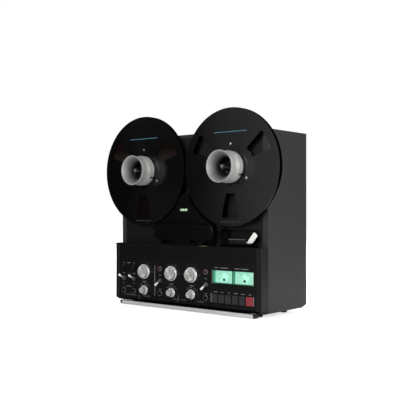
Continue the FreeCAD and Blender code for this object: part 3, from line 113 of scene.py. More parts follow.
@dataclass
class Shell:
    """Vertices and faces of one piece while it is put together."""

    points: list[np.ndarray] = field(default_factory=list)
    faces: list[list[int]] = field(default_factory=list)
    count: int = 0

    def add(self, points: np.ndarray, faces: Iterable[Sequence[int]]) -> Shell:
        """Add points and the faces over them.

        Args:
            points: Array of shape (n, 3).
            faces: Rows of numbers that index those points.

        Returns:
            This shell.
        """
        self.faces.extend((np.asarray(face) + self.count).tolist() for face in faces)
        self.points.append(np.asarray(points, dtype=float))
        self.count += len(points)
        return self

    def join(self, other: Shell) -> Shell:
        """Add another shell's faces to this one and return it."""
        return self.add(np.concatenate(other.points), other.faces)

    def piece(self, name: str, look: Finish, slot: str, body: str = "case",
              smooth: float | None = 35) -> bpy.types.Object:
        """Make the Blender object.

        Args:
            name: Name of the piece.
            look: Its finish.
            slot: Material slot of the record; not used.
            body: CAD body that it moves with.
            smooth: Angle in degrees under which faces shade smoothly, or None for flat.

        Returns:
            The new object at the origin.
        """
        mesh = bpy.data.meshes.new(name)
        points = np.concatenate(self.points) + (0.0, FRONT_EDGE, 0.0)
        mesh.from_pydata((points * MM).tolist(), [], self.faces)
        mesh.materials.append(look.material())
        item = placed(name, mesh)
        if smooth is not None:
            mesh.shade_smooth()
            mesh.set_sharp_from_angle(angle=math.radians(smooth))
        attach(item, body)
        LOG.info("piece %s: %d faces, rides on %s", name, len(mesh.polygons), body)
        return item


def polar(centre: Sequence[float], radius: float, degrees: float | np.ndarray) -> np.ndarray:
    """X-Z points x = cx + r cos a, z = cz + r sin a, at one angle or more."""
    angles = np.radians(degrees)
    return np.asarray(centre) + radius * np.stack([np.cos(angles), np.sin(angles)], axis=-1)


def upright(outline: Sequence[Spot], depth: float) -> np.ndarray:
    """Stand X-Z points up at one depth."""
    return np.insert(np.asarray(outline, dtype=float), 1, depth, axis=1)


def net(points: np.ndarray, close_u: bool = False, close_v: bool = False) -> Shell:
    """Cover a grid of points with quads.

    Args:
        points: Array of shape (rows, columns, 3).
        close_u: Whether the last row joins the first.
        close_v: Whether the last column joins the first.

    Returns:
        A shell whose normals follow rows crossed with columns.
    """
    rows, columns, _ = points.shape
    index = np.arange(rows * columns).reshape(rows, columns)
    if close_u:
        index = np.vstack([index, index[:1]])
    if close_v:
        index = np.hstack([index, index[:, :1]])
    quads = np.stack([index[:-1, :-1], index[:-1, 1:], index[1:, 1:], index[1:, :-1]], axis=-1)
    return Shell().add(points.reshape(-1, 3), quads.reshape(-1, 4))


def lathe(profile: Sequence[tuple[float, float]], centre: Spot, turns: int = 72,
          flutes: int = 0, bite: float = 0.3) -> Shell:
    """Turn a profile about an axis along Y.

    Each point (r, y) becomes the ring x = cx + r cos t, z = cz + r sin t.  Flutes first take
    bite ((1 - cos nt) / 2)^1.5 off r, for n flutes.

    Args:
        profile: Radius and depth pairs, from front to back along the outside.
        centre: X and Z of the axis.
        turns: Points round the axis.
        flutes: How many scallops run along the profile.
        bite: How deep they are.

    Returns:
        A shell, closed at the axis where the radius is zero.
    """
    angles = np.linspace(0, 2 * math.pi, turns, endpoint=False)
    radii, depths = np.array(profile, dtype=float).T[:, :, None]
    ring = radii - bite * (0.5 - 0.5 * np.cos(flutes * angles)) ** 1.5
    points = np.stack([centre[0] + ring * np.cos(angles), np.broadcast_to(depths, ring.shape),
                       centre[1] + ring * np.sin(angles)], axis=-1)
    return net(points, close_v=True)


def prism(outline: Sequence[Spot], front: float, back: float) -> Shell:
    """Stretch an outline between two depths: a copy at each, and a quad along each side.

    Args:
        outline: X and Z pairs, counter-clockwise seen from the front.
        front: The smaller depth.
        back: The larger depth.

    Returns:
        A closed shell.
    """
    near = np.arange(len(outline))
    far, ahead = near + len(near), np.roll(near, -1)
    sides = np.column_stack([near, far, ahead + len(near), ahead])
    points = np.vstack([upright(outline, front), upright(outline, back)])
    return Shell().add(points, [near, far[::-1], *sides])


def corners(left: float, right: float, low: float, high: float) -> np.ndarray:
    """The corners of a rectangle, counter-clockwise seen from the front."""
    return np.array([(left, low), (right, low), (right, high), (left, high)], dtype=float)


def slab(left: float, right: float, low: float, high: float, front: float,
         back: float) -> Shell:
    """A rectangle stretched between two depths."""
    return prism(corners(left, right, low, high), front, back)


def round_rect(left: float, right: float, low: float, high: float, radius: float,
               steps: int = 6) -> np.ndarray:
    """Outline of a rectangle whose corners are quarter circles of equal steps.

    Args:
        left: Lowest X.
        right: Highest X.
        low: Lowest Z.
        high: Highest Z.
        radius: Corner radius.
        steps: Points along each quarter.

    Returns:
        X and Z pairs, counter-clockwise seen from the front.
    """
    middles = corners(left + radius, right - radius, low + radius, high - radius)
    starts = np.array([180, -90, 0, 90])
    angles = (starts[:, None] + np.linspace(0, 90, steps)).ravel()
    outline = polar(np.repeat(middles, steps, axis=0), radius, angles)
    return np.roll(outline, -steps, axis=0)


def slanted_bar(start: Spot, end: Spot, width: float) -> np.ndarray:
    """Outline of a straight stroke: its two ends moved half a width to either side.

    Args:
        start: One end.
        end: The other end.
        width: Width of the stroke.

    Returns:
        Its four corners, counter-clockwise seen from the front.
    """
    ends = np.array([start, end], dtype=float)
    along = (ends[1] - ends[0]) / np.linalg.norm(ends[1] - ends[0])
    side = np.array([along[1], -along[0]]) * width / 2
    return np.vstack([ends + side, (ends - side)[::-1]])


def ring_sector(centre: Spot, inner: float, outer: float, start: float, end: float,
                steps: int) -> np.ndarray:
    """Outline of a curved stroke: an arc out at one radius and back at another.

    Args:
        centre: Middle of both arcs.
        inner: Smaller radius.
        outer: Larger radius.
        start: First angle in degrees.
        end: Last angle.
        steps: Points along each arc.

    Returns:
        X and Z pairs, counter-clockwise seen from the front.
    """
    angles = np.linspace(start, end, steps)
    return np.vstack([polar(centre, outer, angles), polar(centre, inner, angles[::-1])])


def figures(text: str, height: float, place: Spot, front: float, thick: float = 0.06,
            squeeze: float = 1.0) -> Shell:
    """Plain figures as thin solids that stand on a surface.

    Blender sets and fills the figures, and a side goes down from each edge of only one face.

    Args:
        text: The figures to set.
        height: Height of a figure.
        place: X and Z of the middle of the line.
        front: Depth of the front face.
        thick: How far they stand back from it.
        squeeze: Width factor.

    Returns:
        A shell of the set figures.
    """
    curve = bpy.data.curves.new("figures", "FONT")
    curve.body = text
    curve.align_x, curve.align_y = "CENTER", "CENTER"
    curve.resolution_u = 3
    item = bpy.data.objects.new("figures", curve)
    mesh = bpy.data.meshes.new_from_object(item)
    flat = np.empty(3 * len(mesh.vertices), dtype=np.float32)
    mesh.vertices.foreach_get("co", flat)
    faces = [list(face.vertices) for face in mesh.polygons]
    bpy.data.objects.remove(item)
    bpy.data.meshes.remove(mesh)
    flat = flat.reshape(-1, 3)[:, :2].astype(float)
    outline = np.asarray(place) + flat * (height / FIGURE_HEIGHT) * (squeeze, 1)
    count = len(outline)
    edges = dict.fromkeys(pair for face in faces for pair in zip(face, face[1:] + face[:1]))
    sides = [(b, a, a + count, b + count) for a, b in edges if (b, a) not in edges]
    back = [[i + count for i in reversed(face)] for face in faces]
    points = np.vstack([upright(outline, front), upright(outline, front + thick)])
    return Shell().add(points, faces + back + sides)


# ---------------------------------------------------------------- finishes


def cleared(owner: bpy.types.Material | bpy.types.World) -> bpy.types.NodeTree:
    """Turn nodes on and start without any.

    Args:
        owner: The material or world.

    Returns:
        Its empty node tree.
    """
    owner.use_nodes = True
    owner.node_tree.nodes.clear()
    return owner.node_tree


def node(tree: bpy.types.NodeTree, kind: str, **inputs: object) -> bpy.types.Node:
    """Add a shader node with its settings, values and links.

    Args:
        tree: The tree it goes into.
        kind: Node type after "ShaderNode", such as "Math".
        inputs: Settings of the node itself, in small letters, and then what its sockets get, by
            their names or as "i" and a number.  A node given there stands for its first output.

    Returns:
        The new node.
    """
    made = tree.nodes.new("ShaderNode" + kind)
    for key, given in inputs.items():
        number = key[1:]
        if key.islower() and not number.isdigit():
            setattr(made, key, given)
            continue
        socket = made.inputs[int(number) if number.isdigit() else key.replace("_", " ")]
        if isinstance(given, bpy.types.Node):
            given = given.outputs[0]
        if isinstance(given, bpy.types.NodeSocket):
            tree.links.new(given, socket)
        else:
            socket.default_value = given
    return made


class Region(Enum):
    """Part of a surface that is told apart by where it lies in the object."""

    NEAR_AXIS = "within a radius of the axis"
    OUTWARD_X = "further out than a distance to either side"
    LOW_Z = "lower than a height"
    HIGH_Z = "higher than a height"
    RIGHT_X = "further right than a distance, seen from the front"
    DEEP_Y = "further back than a depth"


@dataclass(frozen=True)
class Patch:
    """A second tone on one surface, such as a dark end or a machined core.

    It begins or ends at `limit`, over a step `soft` wide.
    """

    region: Region
    limit: float
    colour: str
    metallic: float = 0.0
    soft: float = 0.2


class Grain(Enum):
    """How a surface was last worked, which sets its fine relief."""

    SMOOTH = "smooth"
    STIPPLED = "stippled"
    BRUSHED_X = "brushed along x"
    TURNED = "turned about an axis along y"


@dataclass(frozen=True)
class Finish:
    """One real finish: its base, its gloss and the relief that its making left.

    `pitch` is the real spacing of the relief.  Spacings too fine to show at arm's length are
    given as coarse as they need to be to show.  `mottle` and `uneven` are the shares by which
    tone and gloss wander, and `centre` is X and Z of the axis of turned marks and pools.
    """

    name: str
    colour: str
    metallic: float = 0.0
    roughness: float = 0.5
    grain: Grain = Grain.SMOOTH
    pitch: float = 0.5
    relief: float = 0.02
    mottle: float = 0.06
    uneven: float = 0.08
    anisotropic: float = 0.0
    coat: float = 0.0
    coat_roughness: float = 0.1
    glow: str | None = None
    glow_strength: float = 0.0
    glow_reach: float = 0.0
    alpha: float = 1.0
    ior: float = 1.5
    specular: float = 0.5
    patches: tuple[Patch, ...] = ()
    centre: Spot = (0.0, 0.0)

    def at(self, x: float, z: float) -> Finish:
        """The same finish turned about another axis."""
        return replace(self, centre=(x, z), name="%s at %g %g" % (self.name, x, z))

    def material(self) -> bpy.types.Material:
        """The finish as a procedural material, made once for each name.

        Returns:
            The material.
        """
        made = bpy.data.materials.get(self.name)
        if made is None:
            made = bpy.data.materials.new(self.name)
            Surface(self, cleared(made)).fill()
        return made


@dataclass
class Surface:
    """The shader nodes of one finish, which all read the object's own coordinates."""

    look: Finish
    tree: bpy.types.NodeTree
    tone_clouds: float = 22.0
    gloss_clouds: float = 60.0
    film_clouds: float = 170.0

    def __post_init__(self) -> None:
        """Take the place on the object that every pattern reads."""
        self.place = self.add("TexCoord").outputs["Object"]

    def add(self, kind: str, **inputs: object) -> bpy.types.Node:
        """Add a node to this surface."""
        return node(self.tree, kind, **inputs)

    def fill(self) -> None:
        """Lay out the shader: tone, patches, gloss, light from behind, relief and marks."""
        look = self.look
        tone, metal = self.tone(), look.metallic
        for patch in look.patches:
            inside = self.mask(patch)
            tone = self.add("Mix", data_type="RGBA", i0=inside, i6=tone,
                            i7=linear(patch.colour)).outputs[2]
            metal = self.add("Mix", data_type="FLOAT", i0=inside, i2=metal, i3=patch.metallic)
        extra: dict[str, object] = {}
        if look.glow:
            extra["Emission_Color"] = linear(look.glow)
            extra["Emission_Strength"] = self.pool() if look.glow_reach else look.glow_strength
        if look.grain is not Grain.SMOOTH:
            extra["Normal"] = self.add("Bump", Strength=1.0, Distance=look.relief * MM,
                                       Height=self.height())
        if look.anisotropic and look.grain is Grain.TURNED:
            extra["Tangent"] = self.tangent()
        shader = self.add("BsdfPrincipled", Base_Color=tone, Metallic=metal,
                          Roughness=self.gloss(), Alpha=look.alpha, IOR=look.ior,
                          Specular_IOR_Level=look.specular, Coat_Weight=look.coat,
                          Coat_Roughness=look.coat_roughness, Anisotropic=look.anisotropic,
                          **extra)
        self.add("OutputMaterial", is_active_output=True, Surface=shader)

    def mask(self, patch: Patch) -> bpy.types.Node:
        """Tell a patch from the rest of the surface.

        Args:
            patch: The patch.

        Returns:
            A node that gives one inside the patch and zero outside it.
        """
        across, deep, up = self.add("SeparateXYZ", Vector=self.place).outputs
        limit, reach = patch.limit, up
        if patch.region is Region.NEAR_AXIS:
            reach = self.from_axis()
        elif patch.region is Region.OUTWARD_X:
            reach = self.add("Math", operation="ABSOLUTE", i0=across)
        elif patch.region is Region.RIGHT_X:
            reach = across
        elif patch.region is Region.DEEP_Y:
            reach, limit = deep, limit + FRONT_EDGE
        inward = patch.region in (Region.NEAR_AXIS, Region.LOW_Z)
        return self.add("MapRange", Value=reach, From_Min=(limit - patch.soft / 2) * MM,
                        From_Max=(limit + patch.soft / 2) * MM, To_Min=float(inward),
                        To_Max=float(not inward))

    def tone(self) -> bpy.types.NodeSocket:
        """Base colour with a slow, faint change of tone over some centimetres.

        Returns:
            Its colour socket.
        """
        colour, mottle = self.look.colour, self.look.mottle
        cloud = self.add("TexNoise", Vector=self.place, Scale=self.tone_clouds, Detail=3.0,
                         Roughness=0.6)
        return self.add("Mix", data_type="RGBA", i0=cloud, i6=linear(colour, 1 - mottle),
                        i7=linear(colour, 1 + mottle)).outputs[2]

    def clouds(self, scale: float, detail: float, low: float, high: float) -> bpy.types.Node:
        """Slow noise spread over two values, which it meets at its own 0.3 and 0.7."""
        cloud = self.add("TexNoise", Vector=self.place, Scale=scale, Detail=detail)
        return self.add("MapRange", Value=cloud, From_Min=0.3, From_Max=0.7, To_Min=low,
                        To_Max=high)

    def gloss(self) -> bpy.types.Node:
        """Roughness that handling has made a little uneven."""
        base, uneven = self.look.roughness, self.look.roughness * self.look.uneven
        return self.clouds(self.gloss_clouds, 4.0, base - uneven, base + uneven)

    def pool(self) -> bpy.types.Node:
        """Strength of the light behind a film.

        Returns:
            A node for a soft pool round the axis, a little cloudy.
        """
        base, middle = self.look.glow_strength, 1.8
        fall = self.add("MapRange", interpolation_type="SMOOTHSTEP", Value=self.from_axis(),
                        From_Min=0.0, From_Max=self.look.glow_reach * MM, To_Min=base * middle,
                        To_Max=base)
        return self.add("Math", operation="MULTIPLY", i0=fall,
                        i1=self.clouds(self.film_clouds, 3.0, 0.82, 1.18))

    def height(self) -> bpy.types.Node:
        """Relief of the grain, one wave for each pitch.

        Returns:
            Cells for a stipple, streaks fifty times as long as wide for brushing, and rings for
            turning.
        """
        density = 1 / (self.look.pitch * MM)
        if self.look.grain is Grain.STIPPLED:
            return self.add("TexNoise", Vector=self.place, Scale=density * 0.5, Detail=2.0,
                            Roughness=0.55)
        if self.look.grain is Grain.BRUSHED_X:
            drawn = self.add("Mapping", Vector=self.place, Scale=(density * 0.02, density, density))
            return self.add("TexNoise", Vector=drawn, Scale=1.0, Detail=3.0)
        return self.add("TexNoise", noise_dimensions="1D", W=self.from_axis(), Scale=density,
                        Detail=3.0)

    def square_off(self) -> bpy.types.Node:
        """Where a point lies seen along the axis.

        Returns:
            A node for the vector square to the axis, from it to the point.
        """
        x, z = self.look.centre
        moved = self.add("VectorMath", operation="SUBTRACT", i0=self.place,
                         i1=(x * MM, 0.0, z * MM))
        return self.add("VectorMath", operation="MULTIPLY", i0=moved, i1=(1.0, 0.0, 1.0))

    def from_axis(self) -> bpy.types.NodeSocket:
        """Distance of the point from the axis."""
        return self.add("VectorMath", operation="LENGTH", i0=self.square_off()).outputs["Value"]

    def tangent(self) -> bpy.types.Node:
        """Direction of the turning marks: square to the axis and to the way out from it.

        Returns:
            A node for that direction, of unit length and in world space.
        """
        marks = self.add("VectorMath", operation="CROSS_PRODUCT", i0=self.square_off(),
                         i1=(0.0, 1.0, 0.0))
        even = self.add("VectorMath", operation="NORMALIZE", i0=marks)
        return self.add("VectorTransform", vector_type="VECTOR", convert_from="OBJECT",
                        convert_to="WORLD", Vector=even)


# Thick textured lacquer on board: it scatters light evenly and hides the grain of the wood.
CASE_LACQUER = Finish("textured grey lacquer, sprayed", "292929", roughness=0.55,
                      grain=Grain.STIPPLED, pitch=0.7, relief=0.03, mottle=0.02, uneven=0.04,
                      specular=0.35)
# Powder coat on sheet aluminium: fine orange peel and low sheen, and painted shadow that makes it
# near black under the lip.
POWDER_COAT = Finish("charcoal powder coat on sheet aluminium", "0d0d0e", roughness=0.36,
                     grain=Grain.STIPPLED, pitch=0.5, relief=0.012, specular=0.22,
                     patches=(Patch(Region.OUTWARD_X, 211.2, "1a1a1b"),
                              Patch(Region.LOW_Z, 17.9, "030303")))
# Black anodised plate: the rolled grain shows faintly along X.
DECK_BLACK = Finish("black anodised sheet aluminium, rolled", "0f0f10", roughness=0.42,
                    grain=Grain.BRUSHED_X, pitch=0.25, relief=0.002, specular=0.35)
# The panel's plate is a shade deeper, so that its print stands out.
PANEL_BLACK = Finish("black anodised panel aluminium, satin", "0b0b0c", roughness=0.42,
                     grain=Grain.BRUSHED_X, pitch=0.2, relief=0.002, specular=0.25)
# Baked enamel on steel: an even dark skin with a little orange peel.
BACK_PAINT = Finish("black enamel on sheet steel, baked", "1d1d1e", roughness=0.5,
                    grain=Grain.STIPPLED, pitch=0.6, relief=0.02)
# Rubber drinks the light and shows no highlight.
FOOT_RUBBER = Finish("black rubber, moulded", "141414", roughness=0.85, grain=Grain.STIPPLED,
                     pitch=0.4, relief=0.03)
# Turned and black anodised: the cutting marks spread highlights into a fan.
REEL_BLACK = Finish("black anodised reel aluminium, turned", "040405", roughness=0.21,
                    grain=Grain.TURNED, pitch=0.35, relief=0.0008, anisotropic=0.5, mottle=0.03,
                    specular=0.8)
# Blasted silver: a matt ring, with painted shade that darkens it softly towards a dark bore.
ADAPTER_SILVER = Finish("clear anodised aluminium, bead blasted", "a1a19f", metallic=0.2,
                        roughness=0.5, grain=Grain.STIPPLED, pitch=0.4, relief=0.004,
                        mottle=0.03, patches=(Patch(Region.NEAR_AXIS, 28.5, "3a3a39", 0.2, 13.0),
                                              Patch(Region.NEAR_AXIS, 21.8, "070707", soft=2.2)))
# The same round the well, where the border is a sharp edge.
ADAPTER_WELL = Finish("clear anodised aluminium round a dark well", "9e9e9c", metallic=0.2,
                      roughness=0.5, grain=Grain.STIPPLED, pitch=0.4, relief=0.004,
                      mottle=0.03, patches=(Patch(Region.NEAR_AXIS, 20.5, "0a0a09"),))
# Turned silver: bright sectors open like a fan across the knob's face.
KNOB_SILVER = Finish("clear anodised knob aluminium, turned", "f2f1ef", metallic=0.7,
                     roughness=0.34, grain=Grain.TURNED, pitch=0.25, relief=0.004,
                     anisotropic=0.9, mottle=0.05)
# The knurled grip is greyer, because each flute shades its neighbour.
GRIP_SILVER = Finish("clear anodised knob aluminium, straight knurled", "a09f9d", metallic=0.5,
                     roughness=0.42, mottle=0.05)
# Dull grey round a bright ground spindle.
TABLE_METAL = Finish("grey anodised aluminium with a ground steel spindle", "2a2a2a",
                     metallic=0.3, roughness=0.36, grain=Grain.TURNED, pitch=0.4, relief=0.002,
                     anisotropic=0.3, patches=(Patch(Region.NEAR_AXIS, 4.6, "7e7e7c", 0.4),))
# Wound tape with a painted highlight: a lighter band level with the hub, where its edges would
# catch the side light.
TAPE_FILM = Finish("polyester tape edge, wound", "080302", roughness=0.42, grain=Grain.TURNED,
                   pitch=0.3, relief=0.002, anisotropic=0.4, mottle=0.45, specular=0.08,
                   patches=(Patch(Region.HIGH_Z, 315.0, "26201f", soft=12.0),
                            Patch(Region.HIGH_Z, 370.0, "0e0605", soft=34.0)))
# Polished moulding: deep black with a clear reflection.
GLOSS_BLACK = Finish("black ABS, polished moulding", "060607", roughness=0.24, coat=0.08,
                     coat_roughness=0.12, mottle=0.02, specular=0.3)
# Spark-eroded mouldings: an even matt skin, grey and red on the keys and black elsewhere.
SATIN_ABS = Finish("dark grey ABS, spark-eroded moulding", "29292b", roughness=0.55,
                   grain=Grain.STIPPLED, pitch=0.35, relief=0.01, specular=0.35)
RED_ABS = Finish("red ABS, spark-eroded moulding", "883035", roughness=0.5,
                 grain=Grain.STIPPLED, pitch=0.35, relief=0.01, specular=0.3)
BLACK_ABS = Finish("black ABS, fine moulding", "0e0e0f", roughness=0.5, grain=Grain.STIPPLED,
                   pitch=0.35, relief=0.006, specular=0.3)
# Smooth white plastic, a little warm.
PALE_ABS = Finish("white ABS, smooth moulding", "e6e6e2", roughness=0.35)
# Ground steel: the brightest metal, with soft reflections.
BRIGHT_STEEL = Finish("stainless steel, ground and polished", "c8c8c9", metallic=0.9,
                      roughness=0.3)
# Lapped head metal: nearly a mirror, with hair lines along the tape.
HEAD_STEEL = Finish("head metal, lapped", "8a8a8c", metallic=1.0, roughness=0.22,
                    grain=Grain.BRUSHED_X, pitch=0.15, relief=0.002)
# One moulding and one plate share the node: nickel barrels, a black plate, a black inlet.
REAR_FITTINGS = Finish("black rear fittings with nickel barrels", "131314", roughness=0.45,
                       patches=(Patch(Region.DEEP_Y, 154.15, "a5a5a1", 0.8),
                                Patch(Region.RIGHT_X, 60.0, "101011")))
# Waxy plastic: plain red, no sharp highlight.
RED_RING = Finish("red polythene insulator, moulded", "8c2a24", roughness=0.5)
# Old nickel: grey, hardly mirroring.
NICKEL = Finish("nickel plate on brass, dulled", "5a5a5c", metallic=0.3, roughness=0.5)
# The bezel's warm grey sets the dark lens off.
LAMP_BEZEL = Finish("warm grey ABS bezel, moulded", "5a504f", roughness=0.5, specular=0.35)
# Pressed black plate, with painted shade that makes it near black below and behind, round a pale
# pivot.
RECESS_METAL = Finish("black anodised sheet aluminium, pressed", "131313", roughness=0.5,
                      specular=0.25, patches=(Patch(Region.DEEP_Y, 1.2, "060606"),
                                              Patch(Region.LOW_Z, 164.2, "030303", soft=1.0),
                                              Patch(Region.NEAR_AXIS, 3.6, "dcdcd8")))
# Blackened steel with a ground tip, painted near white as a highlight: one small light spot.
ROLLER_STEEL = Finish("blackened steel roller with a ground tip", "0d0d0e", roughness=0.55,
                      specular=0.25, patches=(Patch(Region.NEAR_AXIS, 2.6, "e8e8e6", 0.1),))
# Pale green needle with a painted glow, so that it takes the green of the lit film behind it.
NEEDLE_LACQUER = Finish("pale green lacquer on aluminium, dipped", "6fb09a", roughness=0.6,
                        glow="9fe0c6", glow_strength=0.5)
# Black oxide: flat black, without a highlight.
GUIDE_BLACK = Finish("black oxide on steel, matt", "060606", roughness=0.8, specular=0.04)
# Bright bats with painted shade that darkens them towards the root.
CHROME = Finish("chrome plate on a brass bat, worn at the root", "ececec", metallic=0.2,
                roughness=0.35, patches=(Patch(Region.DEEP_Y, -32.5, "767674", 0.3, 3.0),))
# Brushed bar: one long pale highlight between dark ends, and painted shade on a dark top.
RAIL_SILVER = Finish("clear anodised aluminium bar, brushed", "d8d8d7", metallic=0.35,
                     roughness=0.38, grain=Grain.BRUSHED_X, pitch=0.2, relief=0.004,
                     patches=(Patch(Region.OUTWARD_X, 203.5, "161617"),
                              Patch(Region.HIGH_Z, 10.6, "101011")))
# Cast skin: dull silver with a coarse grain.
CAST_METAL = Finish("aluminium, die cast", "8f8f90", metallic=0.9, roughness=0.5,
                    grain=Grain.STIPPLED, pitch=0.8, relief=0.03)
# Stacked sheets under brown varnish: fine lines in one direction.
CORE_STEEL = Finish("transformer steel, varnished", "3a3632", metallic=0.6, roughness=0.45,
                    grain=Grain.BRUSHED_X, pitch=0.5, relief=0.03)
# Solder mask: even green with a slight gloss.
BOARD_GREEN = Finish("glass laminate, solder masked", "24462a", roughness=0.4,
                     grain=Grain.STIPPLED, pitch=0.3, relief=0.01)
# Ground neoprene: matt black velvet.
ROLLER_RUBBER = Finish("neoprene, ground", "0b0b0b", roughness=0.8, grain=Grain.STIPPLED,
                       pitch=0.3, relief=0.01, specular=0.12)
# Clear pane: only its reflections show.
CLEAR_ACRYLIC = Finish("clear acrylic, polished sheet", "101010", roughness=0.05, alpha=0.04,
                       coat=0.3, coat_roughness=0.03, mottle=0.0, uneven=0.0)
# Film lit from behind: pale green with a brighter pool, and deeper green on the walls.
LIT_SCALE = Finish("translucent scale film, lit from behind", "6fb098", roughness=0.5,
                   glow="b9f8df", glow_strength=0.5, glow_reach=17.0, mottle=0.04)
LIT_WALL = Finish("translucent film on the wall, lit from behind", "2a7a5e", roughness=0.5,
                  glow="4fb892", glow_strength=0.42, mottle=0.04)
# Lit segments: the one sharp light in the dark window.
LIT_FIGURES = Finish("green display figures, lit", "d8f5dc", glow="c4f4cf", glow_strength=0.9,
                     mottle=0.0)
# Smoked pane: near black, with a hard reflection.
WINDOW_DARK = Finish("smoked acrylic, polished", "0c120f", roughness=0.08, coat=0.3,
                     coat_roughness=0.03, mottle=0.0, uneven=0.0)
# Inks: flat and matt, a shade thin in places, each in the colour of its print.
REEL_INK = Finish("grey ink on the reel, screen printed", "2d2d2c", roughness=0.6, mottle=0.03)
PALE_INK = Finish("pale grey ink, screen printed", "858583", roughness=0.6, mottle=0.03)
WHITE_INK = Finish("white ink, screen printed", "a8a8a5", roughness=0.6, mottle=0.03)
OLIVE_INK = Finish("pale olive ink, screen printed", "8e8c68", roughness=0.6, mottle=0.03)
TEAL_INK = Finish("muted teal ink, screen printed", "3f7078", roughness=0.6, mottle=0.03)
DARK_INK = Finish("black ink, screen printed", "10110f", roughness=0.6, mottle=0.02)
# The light behind the film shines through its inks too.
SCALE_INK = Finish("dark green ink on the scale film, printed", "3f8f74", roughness=0.6,
                   glow="7fd8b6", glow_strength=0.3, mottle=0.0)
SCALE_RED = Finish("muted red ink on the scale film, printed", "8a7a60", roughness=0.6,
                   glow="b8c8a0", glow_strength=0.3, mottle=0.0)
# An unlit lens looks nearly black, with a breath of red.
RED_LENS = Finish("red polycarbonate lens, moulded", "2c0508", roughness=0.45, specular=0.15,
                  mottle=0.0)
# The groove lies in its own shade, so it reads as a thin grey ring.
GROOVE_GREY = Finish("turned groove in clear anodised aluminium", "8c8c8b", metallic=0.3,
                     roughness=0.5, mottle=0.0)
# Painted shadow: a matt black for gaps that no light comes out of.
SHADOW_BLACK = Finish("deep recess, matt black", "030303", roughness=0.95, specular=0.0,
                      mottle=0.0)


# ---------------------------------------------------------------- picture


@dataclass(frozen=True)
class Softbox:
    """One rectangular lamp, in metres and watts, which reflections show where it is mirrored."""

    name: str
    place: tuple[float, float, float]
    aim: tuple[float, float, float]
    size: tuple[float, float]
    power: float
    mirrored: bool = True

    def hang(self) -> None:
        """Put the lamp in the scene, facing its aim."""
        light = bpy.data.lights.new(self.name, "AREA")
        light.shape = "RECTANGLE"
        light.size, light.size_y = self.size
        light.energy = self.power
        item = placed(self.name, light)
        item.location = self.place
        view = Vector(self.aim) - Vector(self.place)
        item.rotation_euler = view.to_track_quat("-Z", "Y").to_euler()
        item.visible_glossy = self.mirrored


@dataclass
class Studio:
    """Camera, lamps, surroundings and floor of the picture, in metres and degrees."""

    place: tuple[float, float, float] = (1.13334, -1.36025, 0.24034)
    turn: float = 39.3957
    rise: float = 0.0722
    lens: float = 63.13
    clip: float = 20.0
    floor_reach: float = 6.0
    lamps: tuple[Softbox, ...] = (
        Softbox("side softbox", (2.6, -0.2, 0.8), (0.1, 0.0, 0.2), (1.4, 1.4), 70),
        Softbox("front softbox", (0.35, -2.6, 1.45), (0.0, 0.0, 0.2), (1.4, 1.4), 56),
        Softbox("left reflector", (-0.85, -2.35, 0.62), (0.0, 0.0, 0.3), (1.2, 1.4), 2.4),
        Softbox("back softbox", (-1.3, 1.9, 2.0), (0.0, 0.0, 0.25), (1.4, 1.4), 120, False))

    def build(self) -> None:
        """Set up the view, the light and the floor."""
        scene = bpy.context.scene
        scene.view_settings.view_transform = "Standard"
        camera = bpy.data.cameras.new("camera")
        camera.lens = self.lens
        camera.clip_end = self.clip
        holder = placed("camera", camera)
        holder.location = self.place
        holder.rotation_euler = np.radians((90 + self.rise, 0, self.turn)).tolist()
        scene.camera = holder
        self.surroundings()
        self.floor()
        for lamp in self.lamps:
            lamp.hang()

    def surroundings(self) -> None:
        """Even white surroundings: full white where they are seen, dimmer as light."""
        world = bpy.data.worlds.new("studio")
        bpy.context.scene.world = world
        tree = cleared(world)
        seen = node(tree, "LightPath").outputs
        dimmed = node(tree, "Mix", data_type="FLOAT", i0=seen["Is Glossy Ray"], i2=0.08, i3=0.015)
        strength = node(tree, "Mix", data_type="FLOAT", i0=seen["Is Camera Ray"], i2=dimmed,
                        i3=1.0)
        background = node(tree, "Background", Color=(1, 1, 1, 1), Strength=strength)
        node(tree, "OutputWorld", Surface=background)

    def floor(self) -> None:
        """A wide pale floor that keeps the object's shadow.

        It lifts to white away from the object where it is seen, and darkens with distance and
        to the left where it is mirrored.
        """
        mesh = bpy.data.meshes.new("floor")
        reach = self.floor_reach
        sheet = np.insert(corners(-reach, reach, -reach, reach), 2, 0.0, axis=1)
        mesh.from_pydata(sheet.tolist(), [], [(0, 1, 2, 3)])
        made = bpy.data.materials.new("pale paper floor")
        tree = cleared(made)
        seen = node(tree, "LightPath").outputs
        place = node(tree, "TexCoord").outputs["Object"]
        across = node(tree, "SeparateXYZ", Vector=place).outputs["X"]
        away = node(tree, "VectorMath", operation="LENGTH", i0=place).outputs["Value"]
        near = node(tree, "MapRange", interpolation_type="SMOOTHSTEP", Value=away,
                    From_Min=0.35, From_Max=1.3, To_Min=0.9, To_Max=0.03)
        beside = node(tree, "MapRange", interpolation_type="SMOOTHSTEP", Value=across,
                      From_Min=-0.1, From_Max=0.4, To_Min=0.12, To_Max=1.0)
        mirrored = node(tree, "Math", operation="MULTIPLY", i0=near, i1=beside)
        tone = node(tree, "Mix", data_type="FLOAT", i0=seen["Is Glossy Ray"], i2=0.86,
                    i3=mirrored)
        paper = node(tree, "BsdfDiffuse", Color=tone)
        white = node(tree, "MapRange", interpolation_type="SMOOTHSTEP", Value=away,
                     From_Min=0.25, From_Max=1.6, To_Min=0.62, To_Max=1.1)
        lift = node(tree, "Math", operation="MULTIPLY", i0=seen["Is Camera Ray"], i1=white)
        glow = node(tree, "Emission", Strength=lift)
        node(tree, "OutputMaterial", Surface=node(tree, "AddShader", i0=paper, i1=glow))
        mesh.materials.append(made)
        item = placed("floor", mesh)
        item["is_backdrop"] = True


# ---------------------------------------------------------------- sub-assemblies


def dress(name: str, finish: Finish) -> None:
    """Give a CAD node one finish all over.

    Args:
        name: The node.
        finish: Its finish.
    """
    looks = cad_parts[name].data.materials
    if not looks:
        looks.append(finish.material())
    for index in range(len(looks)):
        looks[index] = finish.material()


